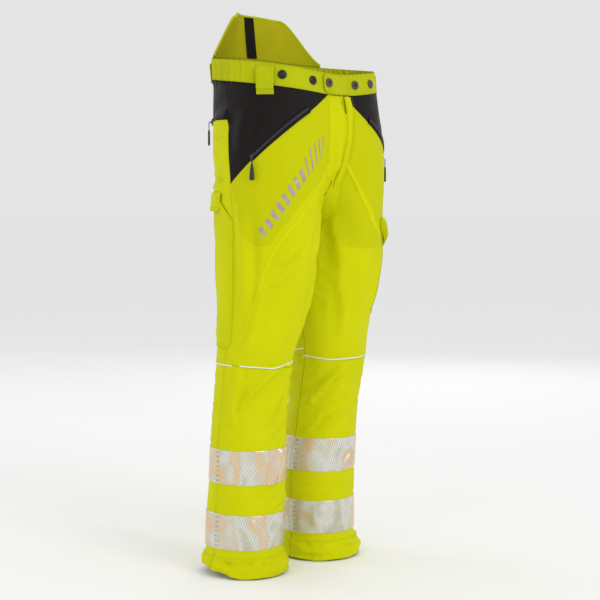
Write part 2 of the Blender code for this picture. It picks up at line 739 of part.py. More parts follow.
def fly_cover():
    """The placket: a rolled welt, sewn down on the wearer's left, free beside the zip."""
    welt = np.array(FLY_WELT)
    free = monotone_curve(welt[:, 0], welt[:, 1])
    sewn = monotone_curve(welt[:, 0], welt[:, 2])
    heights = np.linspace(welt[0, 0], welt[-1, 0], 15)
    shares = np.linspace(0, 1, 7)
    rise = TRIM[0] + FLY_RISE * np.sin(np.pi * (0.12 + 0.80 * shares)) ** 0.7
    verts = []
    for face in (1.6 * MM, 0.0):
        for share, lift in zip(shares, rise):
            turn = free(heights) * (1 - share) + sewn(heights) * share
            verts.extend(skin(LEFT, turn, heights, lift + face))
    rows = len(heights)
    count = len(shares)

    def at(face, i, j):
        return (face * count + i) * rows + j

    faces = []
    for i in range(count - 1):
        for j in range(rows - 1):
            faces.append((at(0, i, j), at(0, i + 1, j), at(0, i + 1, j + 1), at(0, i, j + 1)))
            faces.append((at(1, i, j + 1), at(1, i + 1, j + 1), at(1, i + 1, j), at(1, i, j)))
        for j in (0, rows - 1):
            faces.append((at(0, i, j), at(1, i, j), at(1, i + 1, j), at(0, i + 1, j)))
    for i in (0, count - 1):
        for j in range(rows - 1):
            faces.append((at(0, i, j), at(0, i, j + 1), at(1, i, j + 1), at(1, i, j)))
    add_mesh("fly_cover", verts, faces, "shell_fabric")


def fly_zip():
    track = CurvedZip(RIGHT, FLY_ZIP, FLY_STAND_OFF)
    zip_chain("fly_zip_chain", track)
    lift = zip_slider("fly_zip_slider", track, FLY_SLIDER)
    lift += FLY_SLIDER[2] / 2 + 0.3 * MM + FLY_PULL[2] / 2
    frame = track.frame(SLIDER_REST, lift)
    verts, faces = block(frame, FLY_PULL, (0, FLY_PULL[1] / 2 - 1.5 * MM, 0), 1.5 * MM)
    add_mesh("fly_zip_pull", verts, faces, "zip_plastic", origin=frame.translation)


# ---------------------------------------------------------------- thigh pockets
# turns of the pocket, its low and high edge, and the flap's drop below the pocket's top
THIGH_POCKETS = {
    "right": {"turns": (0.507, 0.660), "low": 0.465, "high": 0.760, "flap": (0.572, 0.690, 0.024)},
    "left": {"turns": (0.325, 0.600), "low": 0.520, "high": 0.705, "flap": (0.288, 0.625, 0.045)},
}
FLAP_GAP = 1.6 * MM
FLAP_THICK = 1.8 * MM
FLAP_CORNER = 8.0 * MM      # how far the left flap's front corner stands off
FLAP_CORNER_LIFT = 0.030
FLAP_BOW = 6.5 * MM         # how far the middle of the right flap's lower edge stands off
FLAP_RISE = 0.016           # height of the flap's hem above the pocket's top
CUT_CORNER = (0.716, 0.60)  # height of the right pocket's cut front corner, and its rise per turn


def pocket_layer(share, row):
    """The pocket's face stands off the leg, less towards its sewn edges."""
    edge = min(share, 1 - share, row, 1.0) / 0.12
    bulge = POCKET[0] + (POCKET[1] - POCKET[0]) * min(max(edge, 0.25), 1.0)
    return (POCKET[0], bulge)


def pocket_top(word):
    """The top edge of a thigh pocket; the right one's front corner is cut off."""
    spec = THIGH_POCKETS[word]
    if word == "left":
        return level(spec["high"])
    low, rise = CUT_CORNER
    return lambda turn, side: min(spec["high"], low + rise * (turn - spec["turns"][0]))


def thigh_pocket(word, side):
    spec = THIGH_POCKETS[word]
    columns = side_columns(side, *spec["turns"])
    patch(f"{word}_thigh_pocket", columns, level(spec["low"]), pocket_top(word), even_rows(8),
          pocket_layer, "shell_fabric")
    start, end, drop = spec["flap"]
    base = POCKET[1] + FLAP_GAP
    top = spec["high"] + FLAP_RISE
    flap = side_columns(side, start, end)

    def flap_layer(share, row):
        if word == "left":
            corner = FLAP_CORNER * max(0.0, 1 - share / 0.35) * (1 - row)
        else:
            corner = FLAP_BOW * math.sin(math.pi * share) * (1 - row)
        return (base + corner, base + FLAP_THICK + corner)

    def flap_low(turn, side):
        """The left flap is shorter at its front corner, which stands off the leg."""
        lift = FLAP_CORNER_LIFT * max(0.0, 1 - (turn - start) / (0.3 * (end - start))) if word == "left" else 0.0
        return top - drop - FLAP_RISE + lift

    place, tangent = flap_axis(word)
    patch(f"{word}_thigh_pocket_flap", flap, flap_low, level(top), even_rows(3),
          flap_layer, "shell_fabric", origin=place)


def flap_axis(word):
    """A level axis that touches the outermost point of the flap's top edge."""
    side = SIDES[word]
    spec = THIGH_POCKETS[word]
    start, end, drop = spec["flap"]
    top = spec["high"] + FLAP_RISE
    base = POCKET[1] + FLAP_GAP
    ends = [Vector(skin(side, turn, top, base)) for turn in (start, end)]
    tangent = (ends[1] - ends[0]).normalized()
    out = tangent.cross(Vector((0, 0, 1))).normalized()
    centre = Vector((side * FORM[0](top), FORM[1](top), top))
    if out.dot(ends[0] - centre) < 0:
        out = -out
    edge = [Vector(skin(side, turn, top, base + FLAP_THICK)) for turn in np.linspace(start, end, 9)]
    far = max(edge, key=out.dot)
    middle = (ends[0] + ends[1]) / 2
    place = middle + out * (far - middle).dot(out)
    return place, tangent


# ---------------------------------------------------------------- the whole garment
def main():
    clear_scene()
    for word, side in SIDES.items():
        leg_panels(word, side)
        hip_panels(word, side)
        reflective_bands(word, side)
        knee_piping(word, side)
        leg_inserts(word, side)
        thigh_pocket(word, side)
    back_yoke()
    waistband()
    waist_tab()
    buttons()
    high_back()
    for name, (side, turn) in LOOPS.items():
        belt_loop(name, side, turn)
    curved_zips()
    fly_cover()
    fly_zip()


main()
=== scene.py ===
"""Looks of the high-visibility chainsaw trousers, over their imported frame.

Metres, +Z up.  The front faces -Y and the wearer's right is -X.
The cloth is one displaced skin over the CAD's body form.  A place on it is a side,
a turn (0 front centre or inseam, 0.5 outer side, 1 back centre or inseam) and a height.
"""
import json
import math

import bmesh
import bpy
import numpy as np
from mathutils import Matrix, Vector

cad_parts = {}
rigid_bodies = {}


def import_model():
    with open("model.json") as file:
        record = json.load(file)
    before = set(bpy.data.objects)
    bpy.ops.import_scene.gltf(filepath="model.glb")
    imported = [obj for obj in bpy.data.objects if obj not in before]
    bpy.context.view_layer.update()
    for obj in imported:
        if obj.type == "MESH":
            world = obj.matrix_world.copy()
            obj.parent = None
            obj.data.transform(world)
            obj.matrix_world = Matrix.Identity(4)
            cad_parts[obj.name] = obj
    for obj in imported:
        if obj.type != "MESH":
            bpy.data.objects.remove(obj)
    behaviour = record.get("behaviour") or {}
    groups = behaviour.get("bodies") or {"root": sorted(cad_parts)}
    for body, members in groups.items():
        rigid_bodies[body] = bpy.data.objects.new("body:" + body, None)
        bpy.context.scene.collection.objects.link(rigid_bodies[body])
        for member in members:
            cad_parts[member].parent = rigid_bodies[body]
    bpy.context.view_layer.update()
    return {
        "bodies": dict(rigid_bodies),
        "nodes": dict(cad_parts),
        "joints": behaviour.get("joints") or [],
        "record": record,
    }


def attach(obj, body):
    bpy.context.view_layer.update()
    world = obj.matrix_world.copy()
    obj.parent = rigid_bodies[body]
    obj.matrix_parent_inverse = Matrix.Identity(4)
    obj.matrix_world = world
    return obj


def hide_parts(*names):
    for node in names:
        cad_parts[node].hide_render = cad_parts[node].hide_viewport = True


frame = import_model()

MM = 0.001
RIGHT = -1
LEFT = 1
SIDES = {"right": RIGHT, "left": LEFT}

# ---------------------------------------------------------------- the CAD's body form
# height, leg centre outward, leg centre back, half width, front depth, back depth, blend
STATIONS = (
    (0, 107, 33, 82, 84, 84, 6),
    (60, 106, 37, 80, 80, 80, 6),
    (200, 103, 33, 79, 80, 80, 6),
    (340, 109, 20, 75, 75, 75, 6),
    (420, 109, 6, 76, 76, 76, 6),
    (500, 102, -4, 83, 84, 84, 6),
    (580, 97, -12, 88, 98, 100, 6),
    (700, 97, -20, 88, 111, 116, 8),
    (740, 94, -20, 91, 113, 117, 12),
    (800, 89, -20, 100, 114, 117, 26),
    (860, 87, -17, 103, 115, 119, 36),
    (930, 83, -10, 101, 113, 117, 46),
    (1000, 80, -4, 99, 108, 112, 50),
    (1150, 78, 14, 97, 106, 112, 50),
)

SEAM = 0.2 * MM
TURN_SEAM = 0.0004
LN2 = math.log(2.0)


def monotone_curve(heights, values):
    """A smooth curve through the stations that never overshoots them."""
    step = np.diff(heights)
    rise = np.diff(values) / step
    slope = np.zeros(len(values))
    for i in range(1, len(values) - 1):
        if rise[i - 1] * rise[i] > 0:
            before = 2 * step[i] + step[i - 1]
            after = step[i] + 2 * step[i - 1]
            slope[i] = (before + after) / (before / rise[i - 1] + after / rise[i])
    slope[0] = rise[0]
    slope[-1] = rise[-1]

    def at(height):
        height = np.clip(height, heights[0], heights[-1])
        i = np.clip(np.searchsorted(heights, height, side="right") - 1, 0, len(step) - 1)
        t = (height - heights[i]) / step[i]
        start = values[i] * (1 + 2 * t) * (1 - t) ** 2 + step[i] * slope[i] * t * (1 - t) ** 2
        end = values[i + 1] * t * t * (3 - 2 * t) + step[i] * slope[i + 1] * t * t * (t - 1)
        return start + end

    return at


TABLE = np.array(STATIONS, float) * MM
FORM = [monotone_curve(TABLE[:, 0], TABLE[:, i]) for i in range(1, 7)]


def section(z, offset):
    """The two blended ellipses of the form at height z, grown by offset."""
    out, back, half, front, rear, blend = [curve(z) for curve in FORM]
    half = half + offset
    front = front + offset
    rear = rear + offset
    round_up = 1 + blend * LN2 / np.minimum(half, front)
    reach = round_up ** 2 - (out / half) ** 2
    return out, back, half, front, rear, blend, reach


def crotch_height(offset):
    low, high = 0.65, 0.80
    for _ in range(40):
        middle = (low + high) / 2
        if section(middle, offset)[-1] > 0:
            high = middle
        else:
            low = middle
    return high


def skin(side, turn, z, offset):
    """Point of the form at a turn and a height, grown outward by offset."""
    turn, z, offset = np.broadcast_arrays(*(np.asarray(v, float) for v in (turn, z, offset)))
    out, back, half, front, rear, blend, reach = section(z, offset)
    root = np.sqrt(np.maximum(reach, 0))
    swing = 2 * np.pi * np.minimum(turn, 1 - turn)
    ease = (1 - swing / np.pi) ** 2
    lead = np.where(turn <= 0.5, np.arctan2(front * root, out), np.arctan2(rear * root, out))
    angle = swing + np.where(reach > 0, lead, 0) * ease
    cosine = np.cos(angle)
    sine = np.where(turn <= 0.5, 1, -1) * np.sin(angle)
    depth = np.where(sine >= 0, front, rear)
    small = np.minimum(half, front)

    def field(r):
        u = out - r * cosine
        y = -r * sine
        near = (np.sqrt(((u - out) / half) ** 2 + (y / depth) ** 2) - 1) * small
        far = (np.sqrt(((u + out) / half) ** 2 + (y / depth) ** 2) - 1) * small
        least = np.minimum(near, far)
        return least - blend * np.log(np.exp((least - near) / blend) + np.exp((least - far) / blend))

    low = np.zeros_like(z)
    high = np.where(cosine > 1e-6, out / np.maximum(cosine, 1e-6), 1.0)
    high = np.minimum(high, 0.5)
    for _ in range(40):
        middle = (low + high) / 2
        inside = field(middle) < 0
        low = np.where(inside, middle, low)
        high = np.where(inside, high, middle)
    radius = (low + high) / 2
    return np.stack([side * (out - radius * cosine + SEAM), back - radius * sine, z], -1)


# ---------------------------------------------------------------- the CAD's seam lines
WAIST_FRONT = 0.964
WAIST_RISE = 0.022
WAIST_EASE = 0.85
BAND_HEIGHT = 0.042
BACK_RISE = 0.089
BACK_FOOT = 0.645
LEFT_BACK_FOOT = 0.618
BACK_SHOULDER = 0.795
RIGHT_SHOULDER_DIP = 0.010     # the curled corner of the high back is rounder and hangs lower
YOKE_LOW = 0.9145
KNEE = 0.434
KNEE_DIP = 0.008
HIP_SIDE = 0.511
HIP_TOP = {RIGHT: (0.088, 0.962), LEFT: (0.037, 0.962)}
HIP_TIP = (0.511, 0.789)
HIP_BULGE = {RIGHT: 0.018, LEFT: 0.006}


def unit(vectors):
    """The same directions with a length of one."""
    return vectors / np.maximum(np.linalg.norm(vectors, axis=-1, keepdims=True), 1e-9)


def run_length(points):
    """Distance along a path to each of its points."""
    return np.concatenate([[0], np.cumsum(np.linalg.norm(np.diff(points, axis=0), axis=1))])


def smooth(low, high, value):
    """0 below low, 1 above high and an eased step between; low may be the larger."""
    t = np.clip((np.asarray(value, float) - low) / (high - low), 0, 1)
    return t * t * (3 - 2 * t)


def waist_seam(turn, side=0):
    return WAIST_FRONT + WAIST_RISE * (1 - np.cos(np.pi * np.maximum(turn, 0.0) ** WAIST_EASE))


def band_top(turn, side=0):
    return waist_seam(turn) + BAND_HEIGHT


def back_top(turn, side=0):
    foot = np.where(side == LEFT, LEFT_BACK_FOOT, BACK_FOOT)
    t = np.clip((turn - foot) / (BACK_SHOULDER - foot), 0.02, 1.0)
    dip = RIGHT_SHOULDER_DIP * np.exp(-((turn - BACK_SHOULDER - 0.005) / 0.040) ** 2) * (side == RIGHT)
    return band_top(turn) + BACK_RISE * t * t * (3 - 2 * t) - dip


CURL, CURL_START, CURL_FULL = 45.0 * MM, 0.96, 0.78


def curl(turns, z):
    """How far the right corner of the high back curls in."""
    return CURL * smooth(CURL_START, CURL_FULL, turns) * np.maximum(z - band_top(turns), 0) / BACK_RISE


def hip_diagonal(turn, side):
    start, top = HIP_TOP[side]
    t = (turn - start) / (HIP_TIP[0] - start)
    return top + t * (HIP_TIP[1] - top) + HIP_BULGE[side] * math.sin(math.pi * t)


def knee_seam(turn, side=0):
    return KNEE - KNEE_DIP * np.maximum(0.0, np.sin(2 * np.pi * turn))


def level(value):
    return lambda turn, side: value


def shifted(line, amount):
    return lambda turn, side: line(turn, side) + amount


# ---------------------------------------------------------------- the draped cloth
GIRTH = 0.52                # metres of cloth in one turn, for distances along the cloth
GRID_TURNS = 321
GRID_LOW, GRID_HIGH, GRID_STEP = -0.012, 1.160, 0.002
TURNS = np.linspace(0, 1, GRID_TURNS)
HEIGHTS = np.arange(GRID_LOW, GRID_HIGH + GRID_STEP / 2, GRID_STEP)
GT, GZ = np.meshgrid(TURNS, HEIGHTS)
CROTCH = crotch_height(0)
BODY = {LEFT: skin(LEFT, GT, GZ, 0.0)}
BODY[RIGHT] = BODY[LEFT] * np.array([-1, 1, 1])
DROP = {side: np.zeros_like(GT) for side in (RIGHT, LEFT)}     # displacement, metres


def with_borders(field):
    """Each side's field with one more column past turn 0 and past turn 1.

    Below the crotch the leg closes on itself; above it the other side carries on.
    """
    above = (HEIGHTS > CROTCH)[:, None]
    done = {}
    for side in (RIGHT, LEFT):
        here, there = field[side], field[-side]
        mask = above[..., None] if here.ndim == 3 else above
        before = np.where(mask, there[:, 1:2], here[:, -2:-1])
        after = np.where(mask, there[:, -2:-1], here[:, 1:2])
        done[side] = np.concatenate([before, here, after], axis=1)
    return done


def normals_of(field):
    out = {}
    for side, wide in with_borders(field).items():
        around = wide[:, 2:] - wide[:, :-2]
        upward = np.gradient(wide[:, 1:-1], axis=0)
        n = np.cross(around, upward) * -side
        out[side] = n / np.maximum(np.linalg.norm(n, axis=-1, keepdims=True), 1e-12)
    centre_x = FORM[0](GZ)
    for side in out:
        middle = np.stack([side * centre_x, FORM[1](GZ), GZ], -1)
        if ((out[side] * (field[side] - middle)).sum(-1)).mean() < 0:
            out[side] = -out[side]
    return out


BODY_NORMAL = normals_of(BODY)


# ---------------------------------------------------------------- folds
def smooth_path(points, count=56):
    """A Catmull-Rom curve through (turn, height) points, as distances along the cloth."""
    pts = np.array([(t * GIRTH, z) for t, z in points])
    pts = np.vstack([2 * pts[0] - pts[1], pts, 2 * pts[-1] - pts[-2]])
    spans = len(pts) - 3
    s = np.linspace(0, spans - 1e-9, count)
    i = s.astype(int)
    f = (s - i)[:, None]
    a, b, c, d = pts[i], pts[i + 1], pts[i + 2], pts[i + 3]
    return 0.5 * (2 * b + (c - a) * f + (2 * a - 5 * b + 4 * c - d) * f ** 2
                  + (3 * b - a - 3 * c + d) * f ** 3)


def fold(side, points, height, width, valley=0.35, lean=0.0, fade=(0.25, 0.3)):
    """Raise a fold (or sink a crease, for a negative height) along a path of the cloth.

    height and width are in millimetres; lean makes one flank steeper.
    """
    curve = smooth_path(points)
    tangent = unit(np.gradient(curve, axis=0))
    w = width * MM
    reach = 4.0 * w
    low, high = curve.min(0) - reach, curve.max(0) + reach
    rows = np.where((HEIGHTS > low[1]) & (HEIGHTS < high[1]))[0]
    if not len(rows):
        return
    above = HEIGHTS[rows] > CROTCH
    for target in (RIGHT, LEFT):
        if target == side:
            ways = [(1, 0.0, None), (1, GIRTH, False), (1, -GIRTH, False)]
        else:
            ways = [(-1, 0.0, True), (-1, 2 * GIRTH, True)]
        for sign, shift, only in ways:
            x = sign * TURNS * GIRTH + shift
            cols = np.where((x > low[0]) & (x < high[0]))[0]
            use = rows if only is None else rows[above == only]
            if not len(cols) or not len(use):
                continue
            px = np.broadcast_to(x[cols], (len(use), len(cols))).ravel()
            pz = np.repeat(HEIGHTS[use], len(cols))
            place = np.stack([px, pz], 1)
            apart = ((place[:, None] - curve[None]) ** 2).sum(-1)
            near = apart.argmin(1)
            dist = np.sqrt(apart[np.arange(len(near)), near])
            way = place - curve[near]
            flank = np.sign(tangent[near, 0] * way[:, 1] - tangent[near, 1] * way[:, 0])
            s = near / (len(curve) - 1)
            end = smooth(0, fade[0], s) * smooth(0, fade[1], 1 - s)
            d = flank * dist / w
            ridge = np.exp(-(d * np.exp(-lean * np.tanh(d))) ** 2)
            side_dip = np.exp(-((np.abs(d) - 1.9) / 0.9) ** 2)
            shape = (ridge - valley * side_dip) * end * height * MM
            DROP[target][np.ix_(use, cols)] += shape.reshape(len(use), len(cols))


def noise(seed, waves, shortest, longest, squeeze=(1, 1, 1), ridged=False):
    """Smooth seeded noise over both sides, about -1 to 1; squeeze stretches its grain."""
    rng = np.random.default_rng(seed)
    ways = rng.normal(size=(waves, 3)) * np.array(squeeze)
    ways /= np.linalg.norm(ways, axis=1, keepdims=True)
    ways *= (2 * np.pi / rng.uniform(shortest, longest, waves))[:, None]
    phase = rng.uniform(0, 2 * np.pi, waves)
    done = {}
    for side in (RIGHT, LEFT):
        total = np.zeros_like(GT)
        for k, p in zip(ways, phase):
            total += np.cos(BODY[side] @ k + p)
        total /= math.sqrt(waves / 2) * 1.6
        done[side] = 1 - 2 * np.abs(np.tanh(total * 1.3)) if ridged else np.tanh(total)
    return done


def window(low, high, soft):
    """1 between two heights, easing to 0 over soft metres outside them."""
    return smooth(low - soft, low, GZ) * smooth(high + soft, high, GZ)


def turn_window(low, high, soft):
    return smooth(low - soft, low, GT) * smooth(high + soft, high, GT)


def add_noise(field, amount, mask):
    for side in (RIGHT, LEFT):
        DROP[side] += field[side] * amount * MM * mask


# ---------------------------------------------------------------- how the trousers hang
# Folds: side, height and width in millimetres, path of (turn, height) points.
FRONT_FOLDS = (
    # above the shaped seam from the crotch to the outer knee
    (RIGHT, -1.6, 9.0, ((.075, .846), (.150, .822), (.225, .790), (.300, .748), (.360, .70))),
    # crumple under it
    (RIGHT, 2.6, 7.0, ((.262, .690), (.300, .655), (.345, .635))),
    (RIGHT, -2.0, 5.0, ((.250, .665), (.300, .632), (.340, .620))),
    (RIGHT, 1.8, 6.0, ((.285, .628), (.330, .600), (.365, .590))),
    # pulls from the crotch down the inner thigh
    (RIGHT, 4.0, 10.0, ((.012, .792), (.060, .742), (.105, .660), (.130, .560), (.120, .470))),
    (RIGHT, -3.0, 8.0, ((.006, .770), (.030, .720), (.062, .640), (.080, .540), (.070, .450))),
    (RIGHT, 3.0, 9.0, ((.050, .790), (.120, .745), (.170, .680), (.190, .600))),
    (RIGHT, -2.4, 7.0, ((.020, .806), (.090, .772), (.150, .722))),
    (RIGHT, 2.0, 5.0, ((.006, .806), (.060, .800), (.147, .776))),
    (RIGHT, 1.6, 4.5, ((.010, .838), (.080, .836), (.165, .824))),
    # long soft folds down the outer thigh
    (RIGHT, 3.0, 12.0, ((.470, .760), (.455, .680), (.440, .600), (.445, .520))),
    (RIGHT, -2.2, 9.0, ((.430, .740), (.415, .650), (.410, .560), (.430, .470))),
    (RIGHT, 2.4, 11.0, ((.385, .655), (.400, .560), (.410, .480), (.420, .445))),
    # the inside of the left knee, seen between the legs
    (LEFT, 4.0, 34.0, ((.885, .500), (.885, .440), (.885, .390), (.885, .320))),
    # a bulge of the right hip under the waist
    (RIGHT, 3.2, 12.0, ((.500, .924), (.545, .920), (.600, .915))),
    # left thigh
    (LEFT, 1.0, 6.0, ((.075, .824), (.128, .793), (.185, .759), (.238, .729), (.288, .699))),
    (LEFT, 1.3, 12.0, ((.034, .700), (.040, .680), (.044, .640), (.040, .560), (.030, .470))),
    (LEFT, -0.8, 9.0, ((.080, .700), (.088, .680), (.094, .650), (.088, .570))),
    (LEFT, 2.6, 11.0, ((.100, .735), (.125, .700), (.150, .640), (.150, .560))),
    (LEFT, 2.2, 10.0, ((.140, .620), (.170, .540), (.165, .470))),
    (LEFT, 2.8, 13.0, ((.300, .680), (.320, .600), (.300, .510))),
    # the shins
    (RIGHT, 3.8, 9.5, ((.255, .430), (.300, .412), (.352, .384), (.395, .356), (.432, .330))),
    (RIGHT, -3.2, 9.0, ((.120, .425), (.170, .392), (.225, .345), (.262, .296))),
    (RIGHT, 3.4, 10.0, ((.150, .440), (.205, .405), (.262, .352), (.300, .300))),
    (RIGHT, 3.0, 8.0, ((.445, .445), (.438, .400), (.448, .350), (.440, .300))),
    (RIGHT, -1.8, 6.0, ((.270, .414), (.325, .388), (.385, .350))),
    (RIGHT, 1.8, 6.5, ((.180, .428), (.225, .408), (.270, .378), (.330, .340))),
    (RIGHT, 1.8, 7.0, ((.120, .330), (.190, .316), (.268, .288), (.330, .270))),
    (RIGHT, -1.5, 5.0, ((.150, .316), (.215, .300), (.275, .276))),
    (RIGHT, 1.5, 5.5, ((.100, .370), (.150, .352), (.205, .322))),
    (LEFT, 4.2, 10.0, ((.205, .420), (.140, .386), (.076, .350), (.018, .326))),
    (LEFT, -3.2, 8.0, ((.185, .392), (.120, .362), (.050, .332))),
    (LEFT, 3.4, 9.0, ((.305, .345), (.240, .326), (.170, .304), (.110, .286))),
    (LEFT, 1.6, 6.0, ((.200, .352), (.140, .330), (.085, .308))),
    (LEFT, 1.6, 6.0, ((.120, .300), (.075, .288), (.030, .270))),
    (LEFT, 2.0, 9.0, ((.300, .425), (.270, .400), (.215, .380))),
    # across the bands
    (RIGHT, 3.6, 6.5, ((.195, .275), (.222, .240), (.255, .205), (.285, .172)),),
    (RIGHT, -3.6, 5.0, ((.165, .268), (.198, .236), (.232, .204), (.262, .178))),
    (RIGHT, 2.6, 7.0, ((.120, .160), (.195, .150), (.262, .136))),
    (RIGHT, -2.2, 4.5, ((.140, .150), (.205, .142), (.255, .130))),
    (LEFT, 2.6, 6.5, ((.345, .215), (.300, .225), (.262, .205), (.235, .188))),
    (LEFT, -2.2, 5.0, ((.330, .204), (.285, .210), (.250, .194))),
    (RIGHT, 2.0, 12.0, ((.330, .125), (.350, .095), (.345, .060))),
    (LEFT, 2.0, 12.0, ((.140, .125), (.120, .095), (.130, .060))),
    # the hems
    (RIGHT, 2.6, 6.0, ((.080, .018), (.160, .022), (.240, .014), (.330, .020))),
    (RIGHT, -2.6, 4.5, ((.300, .034), (.400, .028), (.500, .034))),
    (RIGHT, -3.4, 5.0, ((.505, .050), (.520, .030), (.528, .004))),
    (RIGHT, 3.2, 8.0, ((.560, .034), (.600, .024), (.650, .030))),
    (RIGHT, 2.6, 6.0, ((.430, .016), (.475, .020), (.515, .012))),
    (LEFT, 2.4, 6.0, ((.020, .026), (.100, .020), (.190, .024))),
    (LEFT, -2.4, 5.0, ((.190, .034), (.260, .026), (.330, .030))),
    (LEFT, 3.0, 7.0, ((.300, .014), (.360, .020), (.430, .016))),
    # the black panels pull from the belt loop towards the pocket
    (RIGHT, 1.6, 12.0, ((.440, .940), (.452, .890), (.462, .840))),
    (RIGHT, -1.8, 12.0, ((.390, .950), (.405, .905), (.430, .858))),
    (LEFT, 1.6, 12.0, ((.440, .940), (.452, .890), (.462, .840))),
    (LEFT, -1.4, 10.0, ((.390, .950), (.405, .905), (.430, .858))),
)
# height, width and path, for both sides
BACK_FOLDS = (
    (6.0, 13.0, ((.985, .772), (.930, .742), (.860, .700), (.800, .650))),
    (-4.0, 9.0, ((.990, .748), (.940, .712), (.880, .664), (.830, .610))),
    (4.5, 11.0, ((.985, .735), (.950, .690), (.915, .625), (.890, .560))),
    (3.0, 9.0, ((.980, .800), (.920, .790), (.850, .768), (.780, .742))),
    (3.0, 12.0, ((.760, .780), (.730, .700), (.715, .610), (.720, .530))),
    (-2.4, 9.0, ((.690, .740), (.670, .650), (.670, .560))),
    (3.4, 8.0, ((.900, .462), (.820, .470), (.730, .458), (.650, .466))),
    (-2.8, 6.0, ((.880, .450), (.800, .456), (.710, .446))),
    (3.6, 8.5, ((.910, .418), (.830, .408), (.740, .414), (.640, .402))),
    (-2.8, 6.0, ((.890, .402), (.800, .394), (.700, .398))),
    (2.6, 8.0, ((.880, .376), (.790, .366), (.700, .374))),
    (2.4, 8.0, ((.900, .500), (.830, .512), (.760, .500))),
    (2.8, 10.0, ((.640, .360), (.700, .330), (.780, .312), (.850, .285))),
    (-2.0, 8.0, ((.660, .340), (.730, .312), (.810, .292))),
    (2.4, 9.0, ((.920, .330), (.860, .300), (.790, .284))),
    (2.4, 7.0, ((.620, .158), (.700, .150), (.790, .156), (.870, .148))),
    (-2.0, 5.0, ((.660, .146), (.750, .140), (.830, .144))),
    (2.6, 6.5, ((.600, .022), (.700, .016), (.800, .024), (.900, .018))),
    (-2.2, 5.0, ((.680, .034), (.780, .030), (.860, .036))),
)
# short level gathers of the hip behind the side seam: height, width, path
SIDE_GATHERS = (
    (3.2, 5.0, ((.515, .897), (.560, .893), (.640, .900))),
    (-2.6, 4.5, ((.520, .884), (.580, .880), (.650, .886))),
    (3.0, 5.0, ((.515, .868), (.570, .872), (.640, .866))),
    (-2.4, 4.5, ((.520, .856), (.575, .852), (.640, .855))),
    (3.2, 5.5, ((.515, .838), (.560, .834), (.640, .842))),
    (3.8, 6.5, ((.530, .812), (.580, .806), (.650, .812))),
    (-3.0, 5.0, ((.540, .801), (.590, .796), (.660, .799))),
    (6.0, 8.0, ((.530, .787), (.590, .782), (.670, .784))),
)
FRONT_STRENGTH, BACK_STRENGTH = 1.9, 1.6
SIDE_DRIFT = {RIGHT: (0.0, 0.0), LEFT: (0.018, 0.006)}     # the two backs differ a little


